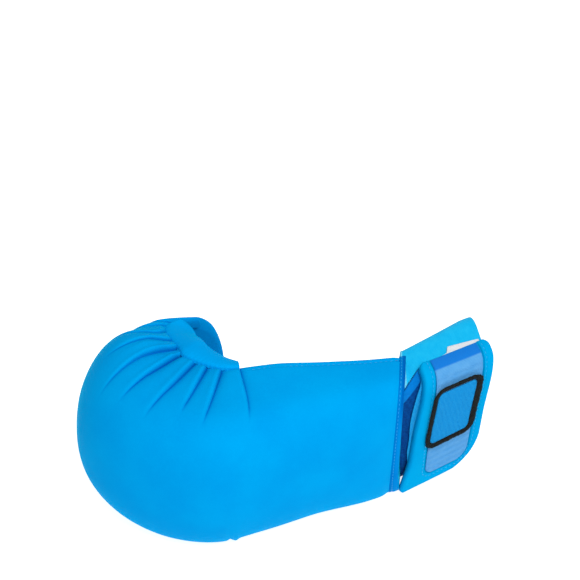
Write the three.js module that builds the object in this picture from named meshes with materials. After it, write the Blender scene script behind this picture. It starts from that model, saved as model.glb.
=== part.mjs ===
// Karate mitt, lying on its side. Millimetres, +Z up, the surface it lies on at z = 0.
// The back of the hand faces -Y, the fist is at -X and the wrist at +X.
import * as THREE from 'three';

// Clearance between pieces that touch
const GAP = 0.3;

// Brings the middle of the mitt's outline over the origin
const ORIGIN_X = 3.5;
const ORIGIN_Y = 0.7;

// Shell sizes
const WRAP_SQUARENESS = 2.5;  // of the upper half: 2 is a true ellipse, more is squarer
const LOWER_SQUARENESS = 2;
const WRIST_SQUARENESS = 3;   // of the lower half at the wrist, going over to the other by WRIST_ROWS
const WRIST_ROWS = 2;
const TIP_ROUND = 0.22;       // in rows: the finger end's sides are cut back by this
const TIP_CORNER = 0.16;      // and its corners by this much more
const SIDE_WALL = 9;          // foam and leather in the side walls
const RIM_WALL = 4.5;         // the same at the sewn rim
const FLAT_PRESS = 2.5;       // how far the lower side is pressed flat
const TURN_SHARE = 0.8;       // of a short wall: the turn never takes more

// Each row is one section of the shell, from the wrist round the knuckles to the finger end.
// crownX, crownY: middle of the outer skin. halfWidth: half of the width across the hand.
// wrap: how far the padded front turns round into the side walls. rimX, rimY: where a wall ends.
// rimDrop: how far the wall dips there. pad: foam thickness.
const SHELL_ROWS = [
  { crownX: 49, crownY: -42, halfWidth: 45.8, wrap: 18, rimX: 61, rimY: -10, rimDrop: 1.5, pad: 9 },
  { crownX: 27, crownY: -49, halfWidth: 46.8, wrap: 24, rimX: 40, rimY: -9, rimDrop: 1.5, pad: 14 },
  { crownX: -3, crownY: -55, halfWidth: 48.5, wrap: 28, rimX: 13, rimY: -7, rimDrop: 1.5, pad: 17 },
  { crownX: -34, crownY: -60, halfWidth: 50, wrap: 31, rimX: -10, rimY: -5, rimDrop: 1.5, pad: 19 },
  { crownX: -64, crownY: -60.5, halfWidth: 50.5, wrap: 31, rimX: -31, rimY: -4, rimDrop: 1.5, pad: 22 },
  { crownX: -92, crownY: -47, halfWidth: 50.5, wrap: 31, rimX: -41, rimY: -2, rimDrop: 1.5, pad: 24 },
  { crownX: -113, crownY: -26, halfWidth: 50.5, wrap: 36, rimX: -48, rimY: 2, rimDrop: 1.5, pad: 24 },
  { crownX: -122.5, crownY: 1, halfWidth: 50.5, wrap: 38, rimX: -54, rimY: 7, rimDrop: 1.5, pad: 23 },
  { crownX: -117, crownY: 29, halfWidth: 50.5, wrap: 36, rimX: -59, rimY: 13, rimDrop: 1.5, pad: 21 },
  { crownX: -98.5, crownY: 51, halfWidth: 50.2, wrap: 31, rimX: -60, rimY: 21, rimDrop: 2.5, pad: 17 },
  { crownX: -69, crownY: 60, halfWidth: 45.5, wrap: 31, rimX: -59, rimY: 49, rimDrop: 2.5, pad: 7.5 },
  { crownX: -22, crownY: 57, halfWidth: 41.2, wrap: 31, rimX: -24, rimY: 54, rimDrop: 2.5, pad: 2.4 },
];

// Gathered pleats of each side wall. row: where the crease meets the rim. far: the row that it has
// reached FAR away from the rim. curl: over this length most of that drift has happened.
// depth: of the crease. width: half width of the crease, in rows. length: from the rim to where
// the crease fades out.
const PLEAT_ROWS = [
  { row: 4.07, far: 3.44, curl: 35, depth: 2.4, width: 0.19, length: 44 },
  { row: 5.09, far: 4.41, curl: 18, depth: 2.8, width: 0.19, length: 48 },
  { row: 6.14, far: 4.98, curl: 18, depth: 2.8, width: 0.19, length: 43 },
  { row: 7.08, far: 5.70, curl: 18, depth: 3.0, width: 0.19, length: 54 },
  { row: 8.48, far: 6.42, curl: 18, depth: 3.0, width: 0.17, length: 54 },
  { row: 9.15, far: 6.78, curl: 25, depth: 2.8, width: 0.11, length: 58 },
  { row: 9.45, far: 7.35, curl: 35, depth: 2.4, width: 0.08, length: 45 },
  { row: 9.76, far: 8.40, curl: 18, depth: 2.4, width: 0.10, length: 46 },
  { row: 10.02, far: 8.90, curl: 15, depth: 1.6, width: 0.08, length: 30 },
  { row: 10.30, far: 9.35, curl: 12, depth: 1.2, width: 0.07, length: 24 },
];
const FAR = 45;
const DRIFT_FROM = 2.5;       // the rows before this one don't drift
const FLANK = 1.35;           // a pleat's ridges are this many half widths from its bottom
const WIDE_GAP = 0.35;        // in rows: pleats farther apart than this get places in between

// Steps of the shell's grid
const PLAIN_STEPS = 10;       // along the smooth back, from the wrist to the first pleat
const END_STEPS = 4;          // along the finger end, past the last pleat
const WALL_STEPS = 4;         // across each side wall
const WRAP_STEPS = 7;         // from a side wall to the middle of the back

// Lining
const LINING_THICKNESS = 1.6;
const LINING_END = 10.5;      // in rows: it stops short of the finger end's edge
const LINING_GAP = 1.1;       // between the shell and the lining
const LINING_STEPS = 28;

// Smooth leaf-shaped facing that is turned out over the gathered rim. place: in rows, at the rim.
// foldX, foldY: where its other edge is folded down towards the hollow.
const FACING_ROWS = [
  { place: 4.1, foldX: -31, foldY: 4 },
  { place: 5.2, foldX: -36, foldY: 8.5 },
  { place: 6.3, foldX: -39, foldY: 12.5 },
  { place: 7.4, foldX: -42, foldY: 17 },
  { place: 8.3, foldX: -44, foldY: 22 },
  { place: 9.0, foldX: -45, foldY: 28.5 },
  { place: 9.6, foldX: -45, foldY: 36 },
  { place: 10.1, foldX: -44, foldY: 43.5 },
  { place: 10.4, foldX: -46.5, foldY: 47.5 },
];
const FACING_DROP = 4.5;      // how far it turns down towards the hollow
const FACING_THICKNESS = 1.5;
const FACING_STEPS = 21;
const FACING_LOW = 1;         // the lower one keeps this far off the surface
const FACING_GAP = 0.7;       // between the rim and the facing

// Hem at the shell's wrist end
const HEM_WIDTH = 5.6;        // at the lower side
const HEM_UPPER_WIDTH = 3.6;
const HEM_UPPER_Z = 88;
const HEM_STEP = 0.8;         // the hem lies this much lower than the shell's skin
const HEM_CLEARANCE = 0.6;    // between the hem and the cuff

// Wrist loop: the closed cuff that the strap goes round. It is bent a little towards the palm.
const LOOP_TURN = THREE.MathUtils.degToRad(13);
const LOOP_START = { x: 57, y: -12.5 };
const LOOP_LENGTH = 68;
const LOOP_HALF_DEPTH = 18;   // from back to palm, at the hand
const LOOP_FLARE = 1.5;       // how much the half depth grows towards the arm
const LOOP_HALF_WIDTH = 39.6;
const LOOP_MIDDLE_Z = 42.4;
const LOOP_LEAN = 0.05;       // its upper side leans towards the palm
const LOOP_SQUARENESS = 5;
const LOOP_SKEW_PALM = 8;     // the palm side is shifted towards the arm by this
const LOOP_PINCH = 7;         // and lies this much closer to the back at the hand
const PINCH_LENGTH = 50;      // fading out over this length
const PINCH_TURN = 0.42;      // cosine of the angle from the palm to the loop's corner
const CUFF_THICKNESS = 2;
const CUFF_END = 52;          // where the back cuff ends at the upper side
const CUFF_LOWER_END = 38;    // and where it ends on the back and the lower side
const BAND_END = 53;
const BAND_BULGE = 4.5;       // at its upper corner the palm band reaches this much farther
const BULGE_AT = 110;         // in degrees round the loop
const BULGE_SPREAD = 36;
const LOWER_TURN = 180;       // past this angle the band's end runs back to the back cuff's
const UPPER_SEAM = 72;        // where the back cuff and the palm band meet, in degrees
const LOWER_SEAM = -91;
const SEAM_GAP = 0.6;         // in degrees
const CUFF_STEPS = 28;

// Strap, from its sewn end on the upper side over the back to its free end
const STRAP_FROM = 77;        // in degrees round the loop, 90 is the upper side and 0 the back
const STRAP_LENGTH = 90.5;
const STRAP_LEFT = 6.5;       // along the loop
const STRAP_RIGHT = 54;
const STRAP_FLARE = 3.5;      // towards the free end the hand's side is wider by this
const FLARE_FROM = 67;        // from this length on
const STRAP_BASE = 2.2;       // thickness under the panel
const STRAP_RIM = 3.4;        // thickness of the bound border
const STRAP_BEND = 11.5;      // the strap turns from the upper side to the back after this length
const TAB_LEAN = 0.095;       // from there it leans towards the hand
const TAB_SLANT = 0.13;       // and its arm side is drawn up
const SLANT_LENGTH = 40;      // over this length
const START_CORNER = 5;       // round corners of the sewn end
const HAND_CORNER = 2.5;      // and of the free end
const ARM_CORNER = 22;
const BORDER_LEFT = 7.7;
const BORDER_SLANT = 0.05;    // the hand's side of the border grows by this for each millimetre
const BORDER_RIGHT = 7.2;
const BORDER_END = 6.5;
const BORDER_LEAST = 2.5;     // width of the border where the round corner cuts into it
const EDGE_ROUND = 0.8;       // the border is this much thinner at its edge
const EDGE_WIDTH = 1.2;
const RECESS_STEP = 0.8;      // width of the slope down to the recess
const PANEL_LEFT = STRAP_LEFT + BORDER_LEFT;
const PANEL_RIGHT = STRAP_RIGHT - BORDER_RIGHT;
const STRAP_STEPS = 16;
const BACKING_THICKNESS = 1.2;
const BACKING_INSET = 0.8;    // it ends this far inside the strap, apart from its bulge
const BACKING_BULGE = 4;      // on the hand's side
const BULGE_MIDDLE = 29;
const BULGE_HALF = 26;
const BACKING_SHORT = 2;      // it is shorter than the strap by this
const PANEL_THICKNESS = 0.9;
const PANEL_HAND_CORNER = 5;
const PANEL_ARM_CORNER = 8;
const BACKING_LOW = 0.5;      // height of the backing over the cuff
const STRAP_LOW = BACKING_LOW + BACKING_THICKNESS + GAP;
const PANEL_LOW = STRAP_LOW + STRAP_BASE + GAP;
const PANEL_HIGH = PANEL_LOW + PANEL_THICKNESS;

// Patch and label
const PATCH_FROM = 20;        // along the strap
const PATCH_LENGTH = 42;
const PATCH_WIDTH = 33.6;
const PATCH_CENTRE = 29.7;
const PATCH_CORNER = 7.5;
const FRAME_BAR = 3.7;
const FRAME_HEIGHT = 1.9;
const FIELD_HEIGHT = 1.0;
const FRAME_CORNER_STEPS = 4;
const SIDE_STEPS = 5;         // along each straight side of the frame

// Free edge of the care label. t: along the loop. top: in degrees round it.
const LABEL_ROWS = [
  { t: 20, top: 78.4 },
  { t: 28.8, top: 79.6 },
  { t: 31.6, top: 85.4 },
  { t: 41.4, top: 83.6 },
  { t: 51.2, top: 81.7 },
];
const LABEL_FROM = 77.7;      // just clear of the strap's sewn end
const LABEL_THICKNESS = 0.5;

const CYAN = 0x0c9fe6;
const LIGHT_CYAN = 0x2fb4ee;
const DEEP_BLUE = 0x0b6fb8;
const PERIWINKLE = 0x5aa5e8;
const BLACK = 0x26282c;
const WHITE = 0xf2f4f6;

// Value of a column at a place along the rows, on a smooth curve through them
function along(rows, key, place) {
  const last = rows.length - 1;
  const i = Math.min(Math.max(Math.floor(place), 0), last - 1);
  const f = place - i;
  const a = rows[i][key];
  const b = rows[i + 1][key];
  const before = i > 0 ? rows[i - 1][key] : 2 * a - b;
  const after = i + 2 <= last ? rows[i + 2][key] : 2 * b - a;
  const slopeA = (b - before) / 2;
  const slopeB = (after - a) / 2;
  const f2 = f * f;
  const f3 = f2 * f;
  return a * (2 * f3 - 3 * f2 + 1) + slopeA * (f3 - 2 * f2 + f)
    + b * (3 * f2 - 2 * f3) + slopeB * (f3 - f2);
}

const blend = (a, b, f) => a + (b - a) * f;

// From 0 to 1 with no kink at either end
function smooth(f) {
  const share = Math.min(1, Math.max(0, f));
  return share * share * (3 - 2 * share);
}

// The lower side is soft: what would be lower than the surface is pressed flat on it
const pressedFlat = (z) => Math.max(0, z - FLAT_PRESS);

// Depth of the pleats at a place along the rows, at a distance from the rim
function pleatDepth(place, fromRim) {
  let depth = 0;
  for (const pleat of PLEAT_ROWS) {
    const across = (place - pleat.row) / pleat.width;
    const left = Math.max(0, 1 - fromRim / pleat.length);
    depth += pleat.depth * Math.exp(-across * across) * Math.sqrt(left);
  }
  return depth;
}

// Row that a line which leaves the rim at a place has reached at a distance from it: the rows
// drift along with the pleats, and not at all at the two ends of the shell
function drifted(place, fromRim) {
  const share = (curl) => (1 - Math.exp(-fromRim / curl)) / (1 - Math.exp(-FAR / curl));
  const stops = [
    { from: DRIFT_FROM, to: DRIFT_FROM },
    ...PLEAT_ROWS.map(({ row, far, curl }) => ({ from: row, to: blend(row, far, share(curl)) })),
    { from: SHELL_ROWS.length - 1, to: SHELL_ROWS.length - 1 },
  ];
  if (place <= DRIFT_FROM) return place;
  const k = stops.findIndex((stop) => place <= stop.from);
  const [low, high] = [stops[k - 1], stops[k]];
  return blend(low.to, high.to, (place - low.from) / (high.from - low.from));
}

// Sizes of the shell's section at a place along the rows
function section(place) {
  const crownX = along(SHELL_ROWS, 'crownX', place);
  const crownY = along(SHELL_ROWS, 'crownY', place);
  const toRimX = along(SHELL_ROWS, 'rimX', place) - crownX;
  const toRimY = along(SHELL_ROWS, 'rimY', place) - crownY;
  const reach = Math.hypot(toRimX, toRimY);
  const turn = Math.min(along(SHELL_ROWS, 'wrap', place), TURN_SHARE * reach);
  return { crownX, crownY, toRimX, toRimY, reach, turn };
}

// Point of the shell. side is +1 on the upper half and -1 on the lower. across runs from 0 at the
// crown by 1 at the end of the turn to 2 at the rim. inward is 0 on the outer skin and 1 under the
// padding, and extra is a further depth in millimetres.
function shellPoint(place, side, across, inward = 0, extra = 0) {
  const lower = blend(WRIST_SQUARENESS, LOWER_SQUARENESS, smooth(place / WRIST_ROWS));
  const power = 2 / (side > 0 ? WRAP_SQUARENESS : lower);
  const angle = Math.min(across, 1) * Math.PI / 2;
  const round = 1 - Math.pow(Math.cos(angle), power);
  const f = Math.max(0, across - 1);
  const own = section(place);
  const fromRim = own.reach - (across < 1 ? own.turn * round : blend(own.turn, own.reach, f));
  const share = Math.pow(Math.sin(angle), power);
  const cut = TIP_ROUND * share ** 2 + TIP_CORNER * share ** 14;
  const row = drifted(place, fromRim * (1 - inward)) - cut * Math.max(0, place - 10);
  const { crownX, crownY, toRimX, toRimY, reach, turn } = section(row);
  const halfWidth = along(SHELL_ROWS, 'halfWidth', row);
  const padding = along(SHELL_ROWS, 'pad', row) * inward + extra;
  const wall = SIDE_WALL * inward + extra;
  let depth = turn;
  let height = halfWidth - wall;
  if (across < 1) {
    depth = padding + (turn - padding) * round;
    height *= share;
  } else {
    const rimWall = RIM_WALL * inward + extra;
    depth = blend(turn, reach, f);
    height += (wall - rimWall - along(SHELL_ROWS, 'rimDrop', row)) * f * f;
  }
  height -= pleatDepth(place, reach - depth) * (1 - inward) * Math.min(1, height / halfWidth);
  const x = crownX + toRimX * depth / reach;
  const y = crownY + toRimY * depth / reach;
  return new THREE.Vector3(x, y, pressedFlat(halfWidth + side * height));
}

// Steps across the shell from the upper rim over the crown to the lower rim
function shellAcross() {
  const upper = [];
  for (let j = WALL_STEPS; j > 0; j -= 1) upper.push(1 + j / WALL_STEPS);
  for (let j = WRAP_STEPS; j > 0; j -= 1) upper.push(j / WRAP_STEPS);
  const lower = [...upper].reverse();
  return [
    ...upper.map((across) => ({ side: 1, across })),
    { side: 1, across: 0 },
    ...lower.map((across) => ({ side: -1, across })),
  ];
}

// Places along the shell: even on the smooth parts, and at the bottom and both ridges of each pleat
function shellPlaces() {
  const last = SHELL_ROWS.length - 1;
  const first = PLEAT_ROWS[0].row - 2 * PLEAT_ROWS[0].width;
  const places = [];
  for (let i = 0; i < PLAIN_STEPS; i += 1) places.push(first * i / PLAIN_STEPS);
  for (const { row, width } of PLEAT_ROWS) {
    const before = places[places.length - 1];
    const ridge = row - FLANK * width;
    const extra = Math.floor((ridge - before) / WIDE_GAP);
    for (let i = 1; i <= extra; i += 1) places.push(blend(before, ridge, i / (extra + 1)));
    places.push(ridge, row, row + FLANK * width);
  }
  const end = places[places.length - 1];
  for (let i = 1; i <= END_STEPS; i += 1) places.push(blend(end, last, i / END_STEPS));
  return places;
}

function shellGrid(places, inward, extra) {
  const across = shellAcross();
  return places.map((place) => across.map((p) => shellPoint(place, p.side, p.across, inward, extra)));
}

// Closed body between two grids of points with the same number of rows and columns. A grid
// whose columns close on themselves makes a ring.
function bodyBetween(outer, inner, ring = false) {
  const rows = outer.length;
  const columns = outer[0].length;
  const points = [...outer.flat(), ...inner.flat()];
  const at = (layer, i, j) => (layer * rows + i) * columns + (j % columns);
  const faces = [];
  const quad = (a, b, c, d) => faces.push(a, b, c, a, c, d);
  const across = ring ? columns : columns - 1;
  for (let j = 0; j < across; j += 1) {
    for (let i = 0; i < rows - 1; i += 1) {
      quad(at(0, i, j), at(0, i + 1, j), at(0, i + 1, j + 1), at(0, i, j + 1));
      quad(at(1, i, j), at(1, i, j + 1), at(1, i + 1, j + 1), at(1, i + 1, j));
    }
    quad(at(0, 0, j), at(0, 0, j + 1), at(1, 0, j + 1), at(1, 0, j));
    quad(at(0, rows - 1, j), at(1, rows - 1, j), at(1, rows - 1, j + 1), at(0, rows - 1, j + 1));
  }
  for (let i = 0; i < rows - 1 && !ring; i += 1) {
    const end = columns - 1;
    quad(at(0, i, 0), at(1, i, 0), at(1, i + 1, 0), at(0, i + 1, 0));
    quad(at(0, i, end), at(0, i + 1, end), at(1, i + 1, end), at(1, i, end));
  }
  return facingOut(points, faces);
}

// Geometry from points and faces, turned so that the faces point out
function facingOut(points, faces) {
  let volume = 0;
  for (let f = 0; f < faces.length; f += 3) {
    const [a, b, c] = [points[faces[f]], points[faces[f + 1]], points[faces[f + 2]]];
    volume += a.dot(b.clone().cross(c));
  }
  for (let f = 0; f < faces.length && volume < 0; f += 3) {
    [faces[f + 1], faces[f + 2]] = [faces[f + 2], faces[f + 1]];
  }
  const geometry = new THREE.BufferGeometry();
  const positions = points.flatMap((p) => [p.x, p.y, p.z]);
  geometry.setAttribute('position', new THREE.Float32BufferAttribute(positions, 3));
  geometry.setIndex(faces);
  geometry.computeVertexNormals();
  return geometry;
}

function piece(name, geometry, color, roughness, metalness = 0) {
  const material = new THREE.MeshStandardMaterial({ color, roughness, metalness });
  const mesh = new THREE.Mesh(geometry, material);
  mesh.name = name;
  return mesh;
}

function shell() {
  const places = shellPlaces();
  return bodyBetween(shellGrid(places, 0, 0), shellGrid(places, 1, 0));
}

function lining() {
  const places = Array.from({ length: LINING_STEPS + 1 }, (_, i) => LINING_END * i / LINING_STEPS);
  return bodyBetween(shellGrid(places, 1, LINING_GAP), shellGrid(places, 1, LINING_GAP + LINING_THICKNESS));
}

// Smooth leaf-shaped facing along one gathered rim. It doesn't follow each crease: it lies level
// with the ridges between them.
function facing(side) {
  const outer = [];
  const inner = [];
  for (let i = 0; i <= FACING_STEPS; i += 1) {
    const u = (FACING_ROWS.length - 1) * i / FACING_STEPS;
    const place = along(FACING_ROWS, 'place', u);
    const rim = shellPoint(place, side, 2);
    const fold = new THREE.Vector3(along(FACING_ROWS, 'foldX', u), along(FACING_ROWS, 'foldY', u), rim.z);
    const width = fold.distanceTo(rim);
    const away = fold.sub(rim).normalize();
    const level = rim.z + side * pleatDepth(place, 0);
    const topOf = (share) => {
      const point = rim.clone().addScaledVector(away, blend(FACING_GAP, width, share));
      point.z = Math.max(FACING_LOW, level - side * FACING_DROP * share * share);
      return point;
    };
    const shares = [0, 0.35, 0.7, 1];
    outer.push(shares.map(topOf));
    inner.push(shares.map((share) => topOf(share).add(new THREE.Vector3(0, 0, -side * FACING_THICKNESS))));
  }
  return bodyBetween(outer, inner);
}

// Half profile radius of the loop's section at an angle: 0 is the back, 90 the upper side
function loopRadius(t, angle, height) {
  const depth = LOOP_HALF_DEPTH + LOOP_FLARE * t / LOOP_LENGTH + height;
  const width = LOOP_HALF_WIDTH + height;
  const power = LOOP_SQUARENESS;
  const sum = Math.pow(Math.abs(Math.cos(angle)) / depth, power)
    + Math.pow(Math.abs(Math.sin(angle)) / width, power);
  return Math.pow(sum, -1 / power);
}

// Point of the wrist loop: t along the loop, degrees round it, height above the cuff's skin
function loopPoint(t, degrees, height) {
  const angle = THREE.MathUtils.degToRad(degrees);
  const radius = loopRadius(t, angle, height);
  const forward = t + LOOP_SKEW_PALM * (1 - Math.cos(angle)) / 2;
  const up = radius * Math.sin(angle);
  const pinched = Math.min(1, Math.max(0, -Math.cos(angle)) / PINCH_TURN);
  const pinch = LOOP_PINCH * pinched * Math.max(0, 1 - t / PINCH_LENGTH);
  const palm = LOOP_LEAN * up - radius * Math.cos(angle) - pinch;
  const x = LOOP_START.x + forward * Math.cos(LOOP_TURN) - palm * Math.sin(LOOP_TURN);
  const y = LOOP_START.y + forward * Math.sin(LOOP_TURN) + palm * Math.cos(LOOP_TURN);
  return new THREE.Vector3(x, y, LOOP_MIDDLE_Z + up);
}

// Degrees round the loop of a point beside it
function loopDegrees(point) {
  const middleY = LOOP_START.y + (point.x - LOOP_START.x) * Math.tan(LOOP_TURN);
  const up = point.z - LOOP_MIDDLE_Z;
  const palm = (point.y - middleY) * Math.cos(LOOP_TURN) - LOOP_LEAN * up;
  return THREE.MathUtils.radToDeg(Math.atan2(up, -palm));
}

// Where a plane parallel to the shell's wrist end, at a distance from it, cuts the loop
function loopStart(degrees, height, distance) {
  const end = SHELL_ROWS[0];
  const slant = (end.rimX - end.crownX) / (end.rimY - end.crownY);
  let t = 0;
  for (let n = 0; n < 4; n += 1) {
    const point = loopPoint(t, degrees, height);
    const wanted = end.crownX + slant * (point.y - end.crownY) + distance;
    t += wanted - point.x;
  }
  return t;
}

// Degrees round the loop after a length along the strap, measured at the strap's middle. Past
// the middle of the back the strap doesn't follow the loop any more.
function strapAngle(length) {
  const middle = (STRAP_LEFT + STRAP_RIGHT) / 2;
  const step = 0.5;
  let degrees = STRAP_FROM;
  let gone = 0;
  let last = loopPoint(middle, degrees, STRAP_RIM);
  while (degrees > 0) {
    const next = loopPoint(middle, degrees - step, STRAP_RIM);
    const move = next.distanceTo(last);
    if (gone + move >= length) return { degrees: degrees - step * (length - gone) / move, beyond: 0 };
    degrees -= step;
    gone += move;
    last = next;
  }
  return { degrees, beyond: length - gone };
}

// Point of the strap: past the bend it leans a little, and its free end hangs straight down
function strapPoint(t, length, height) {
  const past = Math.max(0, length - STRAP_BEND);
  const slant = TAB_SLANT * (t - STRAP_LEFT) * Math.min(1, past / SLANT_LENGTH);
  const { degrees, beyond } = strapAngle(length - slant);
  const point = loopPoint(t - TAB_LEAN * past, degrees, height);
  const down = beyond / Math.hypot(1, LOOP_LEAN);
  point.x += LOOP_LEAN * down * Math.sin(LOOP_TURN);
  point.y -= LOOP_LEAN * down * Math.cos(LOOP_TURN);
  point.z -= down;
  return point;
}

// Hem round the shell's wrist end: its skin follows the shell and its under side the cuff
function hem() {
  const across = shellAcross();
  const end = SHELL_ROWS[0];
  const outer = [];
  const inner = [];
  for (const share of [0, 0.5, 1]) {
    const distanceAt = (z) => blend(2 * GAP, blend(HEM_WIDTH, HEM_UPPER_WIDTH, z / HEM_UPPER_Z), share);
    const skin = across.map(({ side, across: at }) => {
      const point = shellPoint(0, side, at, 0, HEM_STEP);
      return point.setX(shellPoint(0, side, at).x + distanceAt(point.z));
    });
    outer.push(skin);
    inner.push(skin.map((point) => {
      const degrees = loopDegrees(point);
      const start = loopStart(degrees, HEM_CLEARANCE, distanceAt(point.z));
      return loopPoint(start, degrees, HEM_CLEARANCE);
    }));
  }
  return bodyBetween(outer, inner);
}

// Part of the cuff between two angles, from a distance past the shell's end to the arm. end gives
// where it ends along the loop at an angle.
function cuffPart({ from, to, steps, distance, end, high, low }) {
  const grid = (height) => Array.from({ length: steps + 1 }, (_, i) => {
    const degrees = blend(from, to, i / steps);
    const start = loopStart(degrees, height, distance);
    return [0, 0.33, 0.67, 1].map((f) => loopPoint(blend(start, end(degrees), f), degrees, height));
  });
  return bodyBetween(grid(high), grid(low));
}

// Lengths along a sheet of the strap, closer together at its two ends
function sheetLengths(from, to, steps) {
  const share = (i) => (1 - Math.cos(Math.PI * i / steps)) / 2;
  return Array.from({ length: steps + 1 }, (_, i) => blend(from, to, share(i)));
}

// How far a rounded corner takes the side in, at a distance from the end
function cornerInset(distance, radius) {
  if (distance >= radius || radius === 0) return 0;
  return radius - Math.sqrt(Math.max(0, radius ** 2 - (radius - distance) ** 2));
}

// Sheet that follows the strap. left and right give its sides along the loop at a length, from and
// to are lengths along the strap, and low and high are heights above the cuff. Each end has two
// corner sizes, the hand's side first.
function sheet({ left, right, from, to, start = [0, 0], end = [0, 0], low, high, steps, columns }) {
  const grid = (height) => sheetLengths(from, to, steps).map((length) => {
    const inset = (k) => cornerInset(length - from, start[k]) + cornerInset(to - length, end[k]);
    const first = left(length) + inset(0);
    const last = right(length) - inset(1);
    return Array.from({ length: columns + 1 }, (_, j) => (
      strapPoint(blend(first, last, j / columns), length, height)));
  });
  return bodyBetween(grid(high), grid(low));
}

// The hand's side of the strap at a length, without its round corners
function strapLeft(length) {
  return STRAP_LEFT - STRAP_FLARE * smooth((length - FLARE_FROM) / (STRAP_LENGTH - FLARE_FROM));
}

// The hand's side of the panel at a length
const panelLeft = (length) => PANEL_LEFT + BORDER_SLANT * Math.max(0, length - STRAP_BEND);

// Strap: a bound border round a recess that is open at the sewn end, made as one sheet whose skin
// steps down to the recess
function strap() {
  const end = STRAP_LENGTH;
  const recessTo = end - BORDER_END;
  const lengths = [0, 0.08, 0.3, 0.6, 1].map((share) => share * START_CORNER);
  for (let i = 1; i <= STRAP_STEPS; i += 1) lengths.push(blend(START_CORNER, recessTo, i / STRAP_STEPS));
  for (const share of [0, 0.4, 0.65, 0.85, 0.96, 1]) lengths.push(blend(recessTo + RECESS_STEP, end, share));
  const placesAt = (length) => {
    const start = cornerInset(length, START_CORNER);
    const left = strapLeft(length) + start + cornerInset(end - length, HAND_CORNER);
    const recessLeft = panelLeft(length);
    const right = STRAP_RIGHT - start - cornerInset(end - length, ARM_CORNER);
    const recessRight = Math.min(PANEL_RIGHT, right - BORDER_LEAST);
    return [
      left, left + EDGE_WIDTH, recessLeft - RECESS_STEP, recessLeft,
      blend(recessLeft, recessRight, 0.33), blend(recessLeft, recessRight, 0.67),
      recessRight, recessRight + RECESS_STEP, right - EDGE_WIDTH, right,
    ];
  };
  const grid = (skin) => lengths.map((length) => (
    placesAt(length).map((t, j, places) => {
      const last = places.length - 1;
      const inRecess = length <= recessTo && j >= 3 && j <= last - 3;
      const edge = j === 0 || j === last || length === 0 || length === end;
      const top = STRAP_LOW + (inRecess ? STRAP_BASE : STRAP_RIM) - (edge ? EDGE_ROUND : 0);
      return strapPoint(t, length, skin ? top : STRAP_LOW);
    })));
  return bodyBetween(grid(true), grid(false));
}

// Bar of the patch's frame: a rounded rectangle swept on the panel
function patchFrame() {
  const centreLength = PATCH_FROM + PATCH_LENGTH / 2;
  const low = PANEL_HIGH + GAP;
  const outline = (inset) => {
    const halfT = PATCH_WIDTH / 2 - inset;
    const halfLength = PATCH_LENGTH / 2 - inset;
    const radius = Math.max(1, PATCH_CORNER - inset);
    const points = [];
    for (const [signT, signL, start] of [[1, 1, 0], [-1, 1, 90], [-1, -1, 180], [1, -1, 270]]) {
      for (let k = 0; k <= FRAME_CORNER_STEPS; k += 1) {
        const angle = THREE.MathUtils.degToRad(start + 90 * k / FRAME_CORNER_STEPS);
        points.push({
          t: PATCH_CENTRE + signT * (halfT - radius) + radius * Math.cos(angle),
          length: centreLength + signL * (halfLength - radius) + radius * Math.sin(angle),
        });
      }
    }
    return evened(points);
  };
  const ringAt = (inset, height) => outline(inset).map(({ t, length }) => (
    strapPoint(t, length, height)));
  const outer = [ringAt(0, low), ringAt(0, low + FRAME_HEIGHT)];
  const inner = [ringAt(FRAME_BAR, low), ringAt(FRAME_BAR, low + FRAME_HEIGHT)];
  return bodyBetween(outer, inner, true);
}

// The straight sides of an outline get points in between, so that they follow the curve
function evened(points) {
  const list = [];
  points.forEach((point, i) => {
    const next = points[(i + 1) % points.length];
    list.push(point);
    if ((i + 1) % (FRAME_CORNER_STEPS + 1) !== 0) return;
    for (let k = 1; k < SIDE_STEPS; k += 1) {
      const share = k / SIDE_STEPS;
      list.push({ t: blend(point.t, next.t, share), length: blend(point.length, next.length, share) });
    }
  });
  return list;
}

function strapPanel() {
  return sheet({
    left: (length) => panelLeft(length) + 2 * GAP,
    right: () => PANEL_RIGHT - 2 * GAP,
    from: EDGE_WIDTH,
    to: STRAP_LENGTH - BORDER_END - 2 * GAP,
    end: [PANEL_HAND_CORNER, PANEL_ARM_CORNER],
    low: PANEL_LOW,
    high: PANEL_HIGH,
    steps: 18,
    columns: 4,
  });
}

function patchField() {
  const inset = FRAME_BAR + 2 * GAP;
  const corner = PATCH_CORNER - inset;
  return sheet({
    left: () => PATCH_CENTRE - PATCH_WIDTH / 2 + inset,
    right: () => PATCH_CENTRE + PATCH_WIDTH / 2 - inset,
    from: PATCH_FROM + inset,
    to: PATCH_FROM + PATCH_LENGTH - inset,
    start: [corner, corner],
    end: [corner, corner],
    low: PANEL_HIGH + GAP,
    high: PANEL_HIGH + GAP + FIELD_HEIGHT,
    steps: 12,
    columns: 4,
  });
}

// Backing of the strap, which bulges out beside it on the hand's side
function strapBacking() {
  const bulge = (length) => {
    const off = (length - BULGE_MIDDLE) / BULGE_HALF;
    return BACKING_BULGE * Math.max(0, 1 - off * off) ** 2;
  };
  return sheet({
    left: (length) => STRAP_LEFT + BACKING_INSET - bulge(length),
    right: () => STRAP_RIGHT - BACKING_INSET,
    from: BACKING_INSET,
    to: STRAP_LENGTH - BACKING_SHORT,
    start: [START_CORNER, START_CORNER],
    end: [HAND_CORNER, ARM_CORNER],
    low: BACKING_LOW,
    high: BACKING_LOW + BACKING_THICKNESS,
    steps: 20,
    columns: 4,
  });
}

// Care label: a bare tape whose end shows between the palm band and the strap
function label() {
  const grid = (height) => LABEL_ROWS.map(({ t, top }) => (
    [0, 0.5, 1].map((share) => loopPoint(t, blend(LABEL_FROM, top, share), height))));
  return bodyBetween(grid(GAP + LABEL_THICKNESS), grid(GAP));
}

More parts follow.
